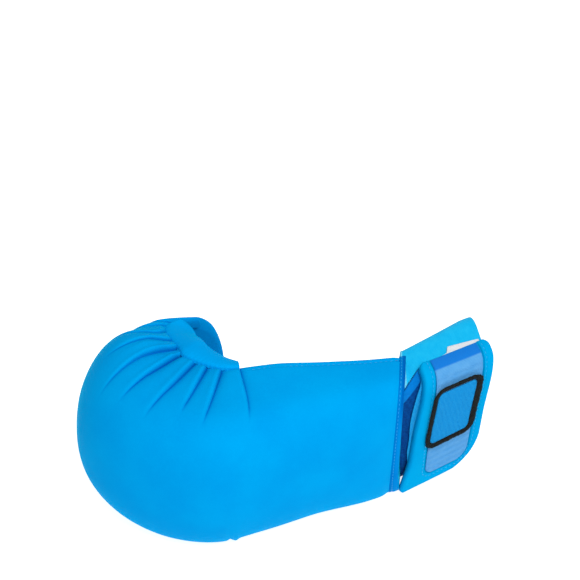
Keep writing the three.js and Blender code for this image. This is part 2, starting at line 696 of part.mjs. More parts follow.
function cuffBack() {
  return cuffPart({
    from: UPPER_SEAM,
    to: LOWER_SEAM,
    steps: CUFF_STEPS,
    distance: GAP,
    end: (degrees) => blend(CUFF_LOWER_END, CUFF_END, Math.max(0, degrees) / UPPER_SEAM),
    high: 0,
    low: -CUFF_THICKNESS,
  });
}

// The palm band runs from seam to seam over the palm side
function palmBand() {
  const to = 360 + LOWER_SEAM - SEAM_GAP;
  const turned = (degrees) => Math.max(0, degrees - LOWER_TURN) / (to - LOWER_TURN);
  const bulge = (degrees) => Math.max(0, 1 - ((degrees - BULGE_AT) / BULGE_SPREAD) ** 2) ** 2;
  return cuffPart({
    from: UPPER_SEAM + SEAM_GAP,
    to,
    steps: CUFF_STEPS,
    distance: GAP,
    end: (degrees) => blend(BAND_END, CUFF_LOWER_END, turned(degrees)) + BAND_BULGE * bulge(degrees),
    high: 0,
    low: -CUFF_THICKNESS,
  });
}

const mitt = new THREE.Group();
mitt.position.set(ORIGIN_X, ORIGIN_Y, 0);
mitt.add(piece('shell', shell(), CYAN, 0.38));
mitt.add(piece('lining', lining(), DEEP_BLUE, 0.7));
mitt.add(piece('rim_facing_upper', facing(1), CYAN, 0.45));
mitt.add(piece('rim_facing_lower', facing(-1), CYAN, 0.45));
mitt.add(piece('wrist_hem', hem(), CYAN, 0.45));
mitt.add(piece('cuff_back', cuffBack(), DEEP_BLUE, 0.85));
mitt.add(piece('palm_band', palmBand(), LIGHT_CYAN, 0.7));
mitt.add(piece('strap_backing', strapBacking(), LIGHT_CYAN, 0.6));
mitt.add(piece('strap', strap(), LIGHT_CYAN, 0.4));
mitt.add(piece('strap_panel', strapPanel(), PERIWINKLE, 0.5));
mitt.add(piece('patch_frame', patchFrame(), BLACK, 0.8));
mitt.add(piece('patch_field', patchField(), PERIWINKLE, 0.6));
mitt.add(piece('care_label', label(), WHITE, 0.7));

export default mitt;
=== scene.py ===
import math

import bmesh
import bpy
import numpy as np
from mathutils import Matrix, Vector


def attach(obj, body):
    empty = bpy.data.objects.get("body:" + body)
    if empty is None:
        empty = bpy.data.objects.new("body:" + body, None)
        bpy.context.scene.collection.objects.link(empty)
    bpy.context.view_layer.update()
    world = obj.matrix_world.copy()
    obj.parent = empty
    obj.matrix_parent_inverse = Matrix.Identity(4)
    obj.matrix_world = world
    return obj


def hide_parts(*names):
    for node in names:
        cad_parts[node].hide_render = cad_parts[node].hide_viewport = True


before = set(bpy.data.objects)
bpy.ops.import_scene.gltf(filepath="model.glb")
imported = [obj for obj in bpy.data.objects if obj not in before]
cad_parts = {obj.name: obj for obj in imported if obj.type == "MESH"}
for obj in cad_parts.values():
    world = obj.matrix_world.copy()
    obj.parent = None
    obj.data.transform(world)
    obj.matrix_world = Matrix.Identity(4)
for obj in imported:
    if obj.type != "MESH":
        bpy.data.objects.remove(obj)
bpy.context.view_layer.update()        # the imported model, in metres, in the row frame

MM = 0.001
RANDOM = np.random.default_rng(7)

# Sizes in millimetres. Most are the CAD source's, in its own frame before ORIGIN is added
ORIGIN = np.array([3.5, 0.7, 0.0])
GAP = 0.3
WRAP_SQUARENESS = 2.5
LOWER_SQUARENESS = 2.0
WRIST_SQUARENESS = 3.0
WRIST_ROWS = 2.0
TIP_ROUND = 0.22
TIP_CORNER = 0.16
TIP_FROM = 10.0
SIDE_WALL = 9.0
RIM_WALL = 4.5
FLAT_PRESS = 2.5
TURN_SHARE = 0.8
ROW_NAMES = ("crown_x", "crown_y", "half_width", "wrap", "rim_x", "rim_y", "rim_drop", "pad")
SHELL_ROWS = np.array([
    (49, -42, 45.8, 18, 61, -10, 1.5, 9),
    (27, -49, 46.8, 24, 40, -9, 1.5, 14),
    (-3, -55, 48.5, 28, 13, -7, 1.5, 17),
    (-34, -60, 50, 31, -10, -5, 1.5, 19),
    (-64, -60.5, 50.5, 31, -31, -4, 1.5, 22),
    (-92, -47, 50.5, 31, -41, -2, 1.5, 24),
    (-113, -26, 50.5, 36, -48, 2, 1.5, 24),
    (-122.5, 1, 50.5, 38, -54, 7, 1.5, 23),
    (-117, 29, 50.5, 36, -59, 13, 1.5, 21),
    (-98.5, 51, 50.2, 31, -60, 21, 2.5, 17),
    (-69, 60, 45.5, 31, -59, 49, 2.5, 7.5),
    (-22, 57, 41.2, 31, -24, 54, 2.5, 2.4),
], float)
LAST_ROW = len(SHELL_ROWS) - 1

# Gathered pleats of each side wall. row: where the crease meets the rim. far: the row that it has
# reached FAR away from the rim. curl: over this length most of that drift has happened.
# depth: of the crease. ridge: height of the fold beside it. length: from the rim.
PLEATS = (
    # row, far, curl, depth, ridge, length
    (4.07, 3.44, 35, 2.6, 0.4, 46),
    (5.09, 4.41, 18, 3.4, 0.6, 50),
    (6.14, 4.98, 18, 3.4, 0.6, 45),
    (7.08, 5.70, 18, 3.6, 0.7, 56),
    (8.48, 6.42, 18, 3.6, 0.7, 56),
    (9.15, 6.78, 25, 3.4, 0.7, 60),
    (9.45, 7.35, 35, 2.6, 0.4, 47),
    (9.76, 8.40, 18, 2.2, 0.2, 50),
    (10.02, 8.90, 15, 1.7, 0.2, 32),
    (10.30, 9.35, 12, 1.4, 0.1, 26),
)
FAR = 45.0
DRIFT_FROM = 2.5
CREASE_SHARP = (0.45, 1.05)  # a pleat's steep side, at the rim and at the pleat's end
CREASE_GENTLE = (2.6, 6.2)  # its other side
CREASE_SHADE = (0.35, 0.7)  # how far its shade reaches on these two sides
FOLD_HIGHLIGHT = 0.6  # share of painted highlight on the folds: how far they go to the light colour
GATHER_ROWS = (3.8, 10.6)  # the seam is tucked in between these
TUCK = 1.1
TUCK_WIDTH = 1.6
PALM_STITCH = 3.8  # from the rim to the stitches along the palm edge
PALM_GROOVE = 0.7
PALM_ROW = 3.5  # from here on their groove fades out
DENSE_ROWS = (3.0, 10.5)  # the grid is closest between these
TIP_ROW = 10.95
TIP_STEPS = 6
TIP_SHADE_FROM = 10.33  # in rows: the inner face shows from here on
INNER_SHADE = 0.12
RIM_FROM = 1.9  # the rim's edge is rounded from this far across
RIM_ROUND = 0.55

# A gather of the lower side reaches round to the back at this row
LAST_GATHER = 4.25
GATHER_LINES = (
    # rows past it, width in rows, depth
    (0.14, 0.04, 0.8),
    (0.0, 0.06, -1.0),
)
GATHER_ACROSS = 0.65
GATHER_SPREAD = 0.28

LINING_THICKNESS = 1.6
LINING_GAP = 1.1
LINING_END = 10.5

# The leaf-shaped facing: place along the rim in rows, and where its other edge is folded down
FACING_ROWS = np.array([
    # place, fold x, fold y
    (4.1, -31, 4),
    (5.2, -36, 8.5),
    (6.3, -39, 12.5),
    (7.4, -42, 17),
    (8.3, -44, 22),
    (9.0, -45, 28.5),
    (9.6, -45, 36),
    (10.1, -44.6, 45),
    (10.5, -46, 51),
], float)
FACING_OVERLAP = 1.3
FACING_RISE = 0.7
FACING_TIP_RISE = 3.0
FACING_TUCK = 1.6  # its seam side is drawn down
FACING_DROP = 4.5
FACING_THICKNESS = 1.5
FACING_LOW = 1.0
FACING_EDGE = 0.06  # as a share of its width
PUCKER = 0.15
PUCKER_PITCH = 0.3  # in rows of its table
FACING_SWELL = 0.6

END_ROLL = 1.0  # the shell's skin rolls down to the hem by this
END_ROLL_ROWS = 0.3
HEM_WIDTH = 5.6  # at the lower side
HEM_UPPER_WIDTH = 3.6
HEM_UPPER_Z = 88.0
HEM_FOOT = 1.3  # wider still at its lower corner
HEM_FOOT_Z = 20.0
HEM_STEP = 0.8
HEM_CLEARANCE = 0.6
HEM_GROOVE = 0.38  # as a share of its width
HEM_GROOVE_DEPTH = 0.4
HEM_ROLL = 0.9
HEM_SHADE = 0.25
HEM_DARK_FROM = 0.45  # painted shade on its upper part: from here towards the cuff, as a share of its width
HEM_DARK_Z = (58.0, 22.0)  # and from this height on, over a further one
HEM_START = -0.6  # it starts under the shell's rolled end

LOOP_TURN = math.radians(13)
LOOP_START = (57.0, -12.5)
LOOP_LENGTH = 68.0
LOOP_HALF_DEPTH = 18.0
LOOP_FLARE = 1.5
LOOP_HALF_WIDTH = 39.6
LOOP_MIDDLE_Z = 42.4
LOOP_LEAN = 0.05
LOOP_SQUARENESS = 5.0
LOOP_SKEW_PALM = 8.0
LOOP_PINCH = 7.0
PINCH_LENGTH = 50.0
PINCH_TURN = 0.42
CUFF_THICKNESS = 2.0
CUFF_END = 52.0
CUFF_LOWER_END = 38.0
CUFF_GRID = (170, 60)
CUFF_FUZZ = 0.12
LOWER_TURN = 180.0
BAND_END = 53.0
BAND_BULGE = 4.5
BULGE_AT = 110.0
BULGE_SPREAD = 36.0
UPPER_SEAM = 72.0
LOWER_SEAM = -91.0
SEAM_GAP = 0.6
# The upper seam runs slantwise from the hand to where the strap hides it
SEAM_LOW = 64.6
SEAM_HIGH = 76.0
SEAM_FROM = -4.5
SEAM_TO = 7.6
SEAM_SHADE = 0.45
BINDING_WIDTH = 9.0  # degrees of the back cuff's bound edge beside the upper seam
PIPING_SHIFT = 0.6
PIPING = 1.8  # along the band, just past the hem
PIPING_TURN = (84.0, 12.0)  # past these degrees it comes down to the band's start

STRAP_FROM = 77.0
STRAP_LENGTH = 90.5
STRAP_LEFT = 6.5
STRAP_RIGHT = 54.0
STRAP_FLARE = 3.5
FLARE_FROM = 67.0
STRAP_BASE = 2.2
STRAP_RIM = 3.4
STRAP_ROLL = 1.6
STRAP_BEND = 11.5
STITCH_INSET = 1.9
TAB_LEAN = 0.095
TAB_SLANT = 0.13
SLANT_LENGTH = 40.0
START_CORNER = 5.0
HAND_CORNER = 2.5
ARM_CORNER = 22.0
BORDER_LEFT = 7.7
BORDER_SLANT = 0.05
BORDER_RIGHT = 7.2
BORDER_END = 6.5
BORDER_LEAST = 2.5
PANEL_LEFT = STRAP_LEFT + BORDER_LEFT
PANEL_RIGHT = STRAP_RIGHT - BORDER_RIGHT
PANEL_FROM = 1.2
PANEL_HAND_CORNER = 5.0
PANEL_ARM_CORNER = 8.0
BACKING_THICKNESS = 1.2
BACKING_INSET = 0.8
BACKING_BULGE = 2.2
BACKING_SHOWN = 1.7  # it stands out by this at the hand side
SHOWN_FROM = (6.0, 12.0)  # from this length on, over a further one
SHOWN_TO = (60.0, 14.0)
BULGE_MIDDLE = 29.0
BULGE_HALF = 26.0
BACKING_SHORT = 2.0
BACKING_LOW = 0.5
PANEL_THICKNESS = 0.9
STRAP_LOW = BACKING_LOW + BACKING_THICKNESS + GAP
PANEL_LOW = STRAP_LOW + STRAP_BASE + GAP
PANEL_HIGH = PANEL_LOW + PANEL_THICKNESS
PATCH_FROM = 20.0
PATCH_LENGTH = 42.0
PATCH_WIDTH = 33.6
PATCH_CENTRE = 29.7
PATCH_CORNER = 7.5
PATCH_STEPS = (14, 40)  # of a corner and of a straight side
PATCH_LOW = PANEL_HIGH + GAP
FRAME_BAR = 3.7
FRAME_HEIGHT = 1.9
FRAME_UNEVEN = 0.22
FRAME_THIN = 2.2  # times FRAME_UNEVEN comes off each of its edges
FRAME_ARM = 3.2  # and this much goes on again at the arm side
FIELD_WIDER = 0.5  # the field reaches the border where that is thinner
FIELD_HEIGHT = 1.0
PILE_COUNT = 2600
PILE_RADIUS = 0.05

# Free edge of the care label: t along the loop, and degrees round it
LABEL_ROWS = np.array([(20, 78.4), (28.8, 79.6), (31.6, 85.4), (41.4, 83.6), (51.2, 81.7)])
LABEL_FROM = 77.7
LABEL_THICKNESS = 0.5

# Rows of stitches: length of a stitch, pitch, radius of the thread, how deep it is sunk
HEM_STITCHES = (1.7, 2.6, 0.22, 0.02)
PALM_STITCHES = (2.1, 3.1, 0.22, 0.0)
STRAP_STITCHES = (1.9, 2.8, 0.24, 0.05)

# The camera as it was fitted to the photograph, in millimetres and degrees
CAMERA_YAW = 20.0
CAMERA_ELEVATION = 46.0
CAMERA_ROLL = 3.5
CAMERA_DISTANCE = 1400.0
CAMERA_TARGET = np.array([15.5, 30.7, 0.0])  # seen CAMERA_LOWER below the picture's middle
CAMERA_LOWER = 140.0  # pixels
PIXEL = 0.6  # millimetres at the target
PICTURE = 580.0
SENSOR = 36.0

# Lights and stage, in metres and watts
LIGHTS = (
    # name, place, width and depth, power
    ("key", (0.0, -0.6, 1.2), (0.7, 0.6), 14.5),
    ("fill", (0.9, -0.2, 0.9), (0.8, 0.8), 2.0),
)
LIGHT_TARGET = (0.0, 0.0, 0.03)
WORLD_LIGHT = 0.5
FLOOR_REACH = 3.0
FLOOR_DROP = 0.0002
FLOOR_TONES = (0.56, 0.6)
FLOOR_GLOW = 0.85
WHITE = (1.0, 1.0, 1.0, 1.0)
DULLED = 0.78  # colours are taken down by this, because the light is above 1


# Curves

def wave(x, pitch):
    return np.sin(x * 2 * math.pi / pitch)


def eased(f):
    """Numbers from 0 to 1, moved closer together at both ends."""
    return (1 - np.cos(math.pi * f)) / 2


def blend(a, b, f):
    return a + (b - a) * f


def smooth(f):
    f = np.clip(f, 0, 1)
    return f * f * (3 - 2 * f)


def hill(x, middle, width):
    return np.exp(-((x - middle) / width) ** 2)


def round_edge(share):
    """Height of a rounded edge: 0 at a share of 0, and 1 from a share of 1 on."""
    return np.sqrt(np.clip(1 - (1 - np.clip(share, 0, 1)) ** 2, 0, 1))


def unit(vectors):
    return vectors / np.linalg.norm(vectors, axis=-1, keepdims=True)


def gone_along(line):
    """Length of a line of points up to each of them."""
    return np.concatenate([[0], np.cumsum(np.linalg.norm(np.diff(line, axis=0), axis=1))])


def spans(*parts):
    """Numbers in parts of (from, to, count), where each part starts at the end of the one before."""
    return np.concatenate([np.linspace(*p)[:-1] for p in parts[:-1]] + [np.linspace(*parts[-1])])


def curve(values, place):
    """Values of a table's column at places along its rows, on a smooth curve."""
    last = len(values) - 1
    place = np.asarray(place, float)
    i = np.clip(np.floor(place).astype(int), 0, last - 1)
    f = place - i
    a, b = values[i], values[i + 1]
    before = np.where(i > 0, values[np.maximum(i - 1, 0)], 2 * a - b)
    after = np.where(i + 2 <= last, values[np.minimum(i + 2, last)], 2 * b - a)
    slope_a, slope_b = (b - before) / 2, (after - a) / 2
    return (a * (2 * f**3 - 3 * f**2 + 1) + slope_a * (f**3 - 2 * f**2 + f)
            + b * (3 * f**2 - 2 * f**3) + slope_b * (f**3 - f**2))


# Surfaces of the CAD source

def along(name, place):
    return curve(SHELL_ROWS[:, ROW_NAMES.index(name)], place)


def section(place):
    """The crown, the way from it to the rim, that way's length and how much of it the turn takes."""
    crown_x, crown_y = along("crown_x", place), along("crown_y", place)
    to_x, to_y = along("rim_x", place) - crown_x, along("rim_y", place) - crown_y
    reach = np.hypot(to_x, to_y)
    return crown_x, crown_y, to_x, to_y, reach, np.minimum(along("wrap", place), TURN_SHARE * reach)


def drifted(place, from_rim):
    """Row that a line which leaves the rim at a place has reached: the lines drift with the pleats."""
    row = place.copy()
    last, last_to = DRIFT_FROM, DRIFT_FROM
    for pleat, far, curl in [p[:3] for p in PLEATS] + [(LAST_ROW, LAST_ROW, 1.0)]:
        to = blend(pleat, far, (1 - np.exp(-from_rim / curl)) / (1 - math.exp(-FAR / curl)))
        between = (place > last) & (place <= pleat)
        row = np.where(between, blend(last_to, to, (place - last) / (pleat - last)), row)
        last, last_to = pleat, to
    return row


def shell_point(place, side, across, inward=0.0, extra=0.0, relief=None):
    """Points of the shell. side is 1 on the upper half and -1 on the lower, across runs from 0
    at the crown to 2 at the rim, inward from 0 on the skin to 1 under the padding. extra is a
    further depth. relief(place, from_rim) is a depth pressed into the side walls."""
    place, side, across, inward, extra = np.broadcast_arrays(
        np.asarray(place, float), side, across, inward, extra)
    angle = np.clip(across, 0, 1) * math.pi / 2
    lower = blend(WRIST_SQUARENESS, LOWER_SQUARENESS, smooth(place / WRIST_ROWS))
    power = 2 / np.where(side > 0, WRAP_SQUARENESS, lower)
    share = np.sin(angle) ** power
    turned = 1 - np.maximum(np.cos(angle), 0) ** power
    f = np.maximum(across - 1, 0)
    *_, reach, turn = section(place)
    from_rim = reach - np.where(across < 1, turn * turned, blend(turn, reach, f))
    cut = TIP_ROUND * share**2 + TIP_CORNER * share**14
    row = drifted(place, from_rim * (1 - inward)) - cut * np.maximum(0, place - TIP_FROM)
    crown_x, crown_y, to_x, to_y, reach, turn = section(row)
    half = along("half_width", row)
    padding = along("pad", row) * inward + extra
    wall = SIDE_WALL * inward + extra
    depth = np.where(across < 1, blend(padding, turn, turned), blend(turn, reach, f))
    rim_wall = RIM_WALL * inward + extra
    height = (half - wall) * share + (wall - rim_wall - along("rim_drop", row)) * f * f
    if relief is not None:
        height = height - relief(place, reach - depth) * (1 - inward) * np.clip(height / half, 0, 1)
    z = np.maximum(0, half + side * height - FLAT_PRESS)
    return np.stack([crown_x + to_x * depth / reach, crown_y + to_y * depth / reach, z], -1)


def loop_radius(t, angle, height):
    depth = LOOP_HALF_DEPTH + LOOP_FLARE * t / LOOP_LENGTH + height
    width = LOOP_HALF_WIDTH + height
    total = ((np.abs(np.cos(angle)) / depth) ** LOOP_SQUARENESS
             + (np.abs(np.sin(angle)) / width) ** LOOP_SQUARENESS)
    return total ** (-1 / LOOP_SQUARENESS)


def loop_point(t, degrees, height):
    """Points of the wrist loop: t along the loop, degrees round it, height above the cuff."""
    t, degrees, height = np.broadcast_arrays(np.asarray(t, float), degrees, height)
    angle = np.radians(degrees)
    radius = loop_radius(t, angle, height)
    forward = t + LOOP_SKEW_PALM * (1 - np.cos(angle)) / 2
    up = radius * np.sin(angle)
    pinched = np.minimum(1, np.maximum(0, -np.cos(angle)) / PINCH_TURN)
    pinch = LOOP_PINCH * pinched * np.maximum(0, 1 - t / PINCH_LENGTH)
    palm = LOOP_LEAN * up - radius * np.cos(angle) - pinch
    x = LOOP_START[0] + forward * math.cos(LOOP_TURN) - palm * math.sin(LOOP_TURN)
    y = LOOP_START[1] + forward * math.sin(LOOP_TURN) + palm * math.cos(LOOP_TURN)
    return np.stack([x, y, LOOP_MIDDLE_Z + up], -1)


def loop_degrees(point):
    """Degrees round the loop of points beside it."""
    middle_y = LOOP_START[1] + (point[..., 0] - LOOP_START[0]) * math.tan(LOOP_TURN)
    up = point[..., 2] - LOOP_MIDDLE_Z
    palm = (point[..., 1] - middle_y) * math.cos(LOOP_TURN) - LOOP_LEAN * up
    return np.degrees(np.arctan2(up, -palm))


def loop_start(degrees, height, distance):
    """Where a plane parallel to the shell's wrist end, at a distance from it, cuts the loop."""
    crown_x, crown_y, to_x, to_y, *_ = section(0.0)
    t = np.zeros(np.shape(degrees))
    for _ in range(6):
        point = loop_point(t, degrees, height)
        t = t + crown_x + to_x / to_y * (point[..., 1] - crown_y) + distance - point[..., 0]
    return t


def strap_table():
    """Lengths along the strap's middle against degrees round the loop."""
    degrees = np.linspace(STRAP_FROM, 0, 800)
    return gone_along(loop_point((STRAP_LEFT + STRAP_RIGHT) / 2, degrees, STRAP_RIM)), degrees


STRAP_GONE, STRAP_DEGREES = strap_table()


def strap_point(t, length, height):
    """Points of the strap: past the bend it leans a little, and its free end hangs straight down."""
    t, length, height = np.broadcast_arrays(np.asarray(t, float), length, height)
    past = np.maximum(0, length - STRAP_BEND)
    length = length - TAB_SLANT * (t - STRAP_LEFT) * np.minimum(1, past / SLANT_LENGTH)
    degrees = np.interp(length, STRAP_GONE, STRAP_DEGREES)
    point = loop_point(t - TAB_LEAN * past, degrees, height)
    down = np.maximum(0, length - STRAP_GONE[-1]) / math.hypot(1, LOOP_LEAN)
    point[..., 0] += LOOP_LEAN * down * math.sin(LOOP_TURN)
    point[..., 1] -= LOOP_LEAN * down * math.cos(LOOP_TURN)
    point[..., 2] -= down
    return point


def corner_inset(distance, radius):
    """How far a rounded corner takes the side in, at a distance from the end."""
    if radius <= 0:
        return np.zeros(np.shape(distance))
    near = np.clip(radius - distance, 0, radius)
    return radius - np.sqrt(np.maximum(0, radius**2 - near**2))


# Meshes

def add_object(name, data):
    thing = bpy.data.objects.new(name, data)
    bpy.context.scene.collection.objects.link(thing)
    return thing


def mesh_object(name, points, faces, **values):
    """A smooth-shaded object from points in CAD millimetres. values are what its material reads
    at each point: surface is three coordinates on the cloth in millimetres, others are shares."""
    mesh = bpy.data.meshes.new(name)
    mesh.from_pydata(((points + ORIGIN) * MM).tolist(), [], faces)
    mesh.validate()
    mesh.shade_smooth()
    for key, numbers in values.items():
        kind, field = ("FLOAT_VECTOR", "vector") if key == "surface" else ("FLOAT", "value")
        data = mesh.attributes.new(key, kind, "POINT").data
        data.foreach_set(field, numbers.astype(np.float32).ravel())
    turn_out(mesh)
    return add_object(name, mesh)


def turn_out(mesh):
    """Turns every face round where the mesh's volume is negative."""
    solid = bmesh.new()
    solid.from_mesh(mesh)
    if solid.calc_volume(signed=True) < 0:
        mesh.flip_normals()
    solid.free()


def tube_faces(rows, columns, closed_rows=False):
    """Quads of a grid whose columns close on themselves, and its rows too where that is asked."""
    grid = np.arange(rows * columns).reshape(rows, columns)
    if closed_rows:
        grid = np.concatenate([grid, grid[:1]])
    after = np.roll(grid, -1, axis=1)
    return np.stack([grid[:-1], grid[1:], after[1:], after[:-1]], -1).reshape(-1, 4).tolist()


def cap_faces(start, outer, inner, flip):
    """Closes the end of a tube whose ring is an outer chain and then an inner chain back. Both
    chains are given by the rising distances of their points round the section."""
    faces = []
    last = start + len(outer) + len(inner) - 1
    a = b = 0
    while a < len(outer) - 1 or b < len(inner) - 1:
        ahead = b == len(inner) - 1 or (a < len(outer) - 1 and outer[a + 1] <= inner[b + 1])
        if ahead:
            face = (start + a, start + a + 1, last - b)
            a += 1
        else:
            face = (start + a, last - b - 1, last - b)
            b += 1
        faces.append(face if not flip else face[::-1])
    return faces


def body(name, outer, inner, **values):
    """Closed body between two grids of points with the same rows and columns."""
    rows, columns = outer.shape[:2]
    grid = np.arange(rows * columns).reshape(rows, columns)
    top = np.stack([grid[:-1, :-1], grid[1:, :-1], grid[1:, 1:], grid[:-1, 1:]], -1).reshape(-1, 4)
    edge = np.concatenate([grid[0, :-1], grid[:-1, -1], grid[-1, :0:-1], grid[:0:-1, 0]])
    after = np.roll(edge, -1)
    wall = np.stack([edge, after, after + grid.size, edge + grid.size], -1)
    faces = np.concatenate([top, top[:, [0, 3, 2, 1]] + grid.size, wall]).tolist()
    points = np.concatenate([outer.reshape(-1, 3), inner.reshape(-1, 3)])
    values = {key: np.concatenate([numbers.ravel()] * 2) for key, numbers in values.items()}
    return mesh_object(name, points, faces, **values)


def stitches(name, line, normal, length, pitch, radius, sink):
    """A row of sewn stitches along a line of points: each is a small bent capsule that dips into
    the cloth at both ends. normal is the outward direction at each point of the line."""
    gone = gone_along(line)
    sides, parts = 6, 7
    share = np.linspace(0, 1, parts)
    where = np.arange(0, gone[-1] - length, pitch)[:, None] + length * share
    centre, up = (np.stack([np.interp(where, gone, column) for column in values.T], -1)
                  for values in (line, normal))
    up = unit(up)
    across = np.cross(unit(np.gradient(centre, axis=1)), up)
    lift = radius * (1.1 * np.sqrt(np.sin(math.pi * share)) - 0.5) - sink
    thick = radius * np.sqrt(np.clip(1 - (2 * share - 1) ** 4, 0.05, 1))
    turn = np.linspace(0, 2 * math.pi, sides, endpoint=False)[:, None]
    around = np.cos(turn) * across[:, :, None] + np.sin(turn) * up[:, :, None]
    points = (centre + up * lift[:, None])[:, :, None] + thick[:, None, None] * around
    count = parts * sides
    one = tube_faces(parts, sides) + [range(sides), range(count - 1, count - sides - 1, -1)]
    faces = [[first + v for v in face] for first in range(0, len(where) * count, count) for face in one]
    return mesh_object(name, points.reshape(-1, 3), faces)


# Materials

class Graph:
    """A material with a Principled shader, and short ways to add nodes to it."""

    def __init__(self, name):
        self.material = bpy.data.materials.new(name)
        self.material.use_nodes = True
        self.tree = self.material.node_tree
        self.shader = self.tree.nodes["Principled BSDF"]

    def put(self, socket, value):
        """Links a socket to another one, or gives it a value."""
        if isinstance(value, bpy.types.NodeSocket):
            self.tree.links.new(value, socket)
        elif value is not None:
            socket.default_value = value

    def node(self, kind, inputs=(), **settings):
        node = self.tree.nodes.new(kind)
        for key, value in settings.items():
            setattr(node, key, value)
        for key, value in dict(inputs).items():
            self.put(node.inputs[key], value)
        return node

    def place(self, scale=(1000, 1000, 1000)):
        """Object coordinates, by default in millimetres."""
        found = self.node("ShaderNodeTexCoord").outputs["Object"]
        return self.node("ShaderNodeMapping", {"Vector": found, "Scale": scale}).outputs[0]

    def surface(self):
        return self.node("ShaderNodeAttribute", attribute_name="surface").outputs["Vector"]

    def value(self, name):
        return self.node("ShaderNodeAttribute", attribute_name=name).outputs["Fac"]

    def math(self, operation, a, b=0.0):
        return self.node("ShaderNodeMath", {0: a, 1: b}, operation=operation).outputs[0]

    def noise(self, vector, scale, detail=3.0, roughness=0.5):
        inputs = {"Vector": vector, "Scale": scale, "Detail": detail, "Roughness": roughness}
        return self.node("ShaderNodeTexNoise", inputs).outputs["Fac"]

    def cells(self, vector, scale, feature="F1", randomness=1.0):
        inputs = {"Vector": vector, "Scale": scale, "Randomness": randomness}
        return self.node("ShaderNodeTexVoronoi", inputs, feature=feature).outputs["Distance"]

    def range(self, value, low, high, to_low=0.0, to_high=1.0):
        inputs = {"Value": value, "From Min": low, "From Max": high, "To Min": to_low, "To Max": to_high}
        return self.node("ShaderNodeMapRange", inputs).outputs["Result"]

    def mix(self, share, a, b):
        """a and b are sockets, or colours of 0 to 255 as they look in the light of this scene."""
        a, b = (srgb(color) if isinstance(color, tuple) else color for color in (a, b))
        node = self.node("ShaderNodeMix", {"Factor": share, "A": a, "B": b}, data_type="RGBA")
        return [s for s in node.outputs if s.type == "RGBA"][0]

    def bump(self, height, strength, distance, under=None):
        inputs = {"Height": height, "Strength": strength, "Distance": distance * MM, "Normal": under}
        return self.node("ShaderNodeBump", inputs).outputs[0]

    def finish(self, color, roughness, normal=None, **constants):
        inputs = {"Base Color": color, "Roughness": roughness, "Normal": normal}
        inputs.update({key.replace("_", " "): value for key, value in constants.items()})
        for key, value in inputs.items():
            self.put(self.shader.inputs[key], value)
        return self.material


def srgb(color):
    parts = [c / 255 for c in color]
    linear = [c / 12.92 if c <= 0.04045 else ((c + 0.055) / 1.055) ** 2.4 for c in parts]
    return tuple(DULLED * c for c in linear) + (1.0,)


def leather(name, base, shade, light, dark=None):
    """Imitation leather: fine pebbled grain over soft wrinkles, a little uneven in colour. With a
    dark colour it has painted shade where its crease value is, painted highlight where its ridge is."""
    g = Graph(name)
    at = g.place()
    blotch = g.noise(at, 0.035, 4.0, 0.55)
    cells = g.cells(at, 1.15, "SMOOTH_F1")
    creases = g.cells(at, 0.75, "DISTANCE_TO_EDGE")
    pores = g.noise(at, 2.6, 2.0, 0.6)
    color = g.mix(g.range(blotch, 0.35, 0.65), shade, base)
    color = g.mix(g.range(cells, 0.0, 0.75, 0.0, 0.16), color, light)
    color = g.mix(g.range(creases, 0.0, 0.08, 0.18, 0.0), color, shade)
    if dark is not None:
        # painted highlight where the ridge value is, broken up by the pores, then painted shade in the dark
        # colour where the crease value is
        painted_highlight = g.math("MULTIPLY", g.value("ridge"), g.range(pores, 0.3, 0.7, 0.3, 0.7))
        color = g.mix(painted_highlight, color, light)
        color = g.mix(g.math("MULTIPLY", g.value("crease"), 0.9), color, dark)
    wrinkles = g.noise(at, 0.28, 4.0, 0.6)
    height = g.math("ADD", g.range(creases, 0.0, 0.16), g.math("MULTIPLY", pores, 0.35))
    normal = g.bump(height, 0.4, 0.06, g.bump(wrinkles, 0.16, 0.5))
    roughness = g.range(g.noise(at, 0.12, 3.0), 0.3, 0.7, 0.45, 0.56)
    return g.finish(color, roughness, normal, Specular_IOR_Level=0.002,
                    Specular_Tint=(0.05, 0.75, 1.0, 1.0), Sheen_Weight=0.25, Sheen_Roughness=0.3,
                    Sheen_Tint=(0.0, 0.8, 0.9, 1.0))


def fabric(name, base, shade, light, pitch, fuzz=0.8, rough=0.85, bound=None):
    """Knitted or brushed cloth: small loops with fibres over them. bound is the colour of the
    cuff's bound edge."""
    g = Graph(name)
    at = g.place()
    loops = g.cells(at, 1 / pitch, "F1", 0.55)
    fibres = g.noise(g.place((900, 1500, 2400)), 1.4, 3.0, 0.7)
    blotch = g.noise(at, 0.06, 3.0)
    color = g.mix(g.range(loops, 0.05, 0.75), light, shade)
    color = g.mix(g.range(blotch, 0.3, 0.7, 0.2, 0.6), color, base)
    color = g.mix(g.range(fibres, 0.55, 0.8, 0.0, 0.5), color, light)
    if bound is not None:
        from_seam = g.node("ShaderNodeSeparateXYZ", {"Vector": g.surface()}).outputs[2]
        edge = g.range(from_seam, BINDING_WIDTH - 0.6, BINDING_WIDTH)
        color = g.mix(edge, bound, color)
        color = g.mix(g.range(from_seam, 0.5, 1.2, SEAM_SHADE, 1.0), shade, color)
    height = g.math("SUBTRACT", g.math("MULTIPLY", fibres, 0.5), loops)
    normal = g.bump(height, fuzz, 0.35)
    return g.finish(color, rough, normal, Specular_IOR_Level=0.05, Sheen_Weight=0.04,
                    Sheen_Roughness=0.5, Sheen_Tint=(0.1, 0.7, 1.0, 1.0))


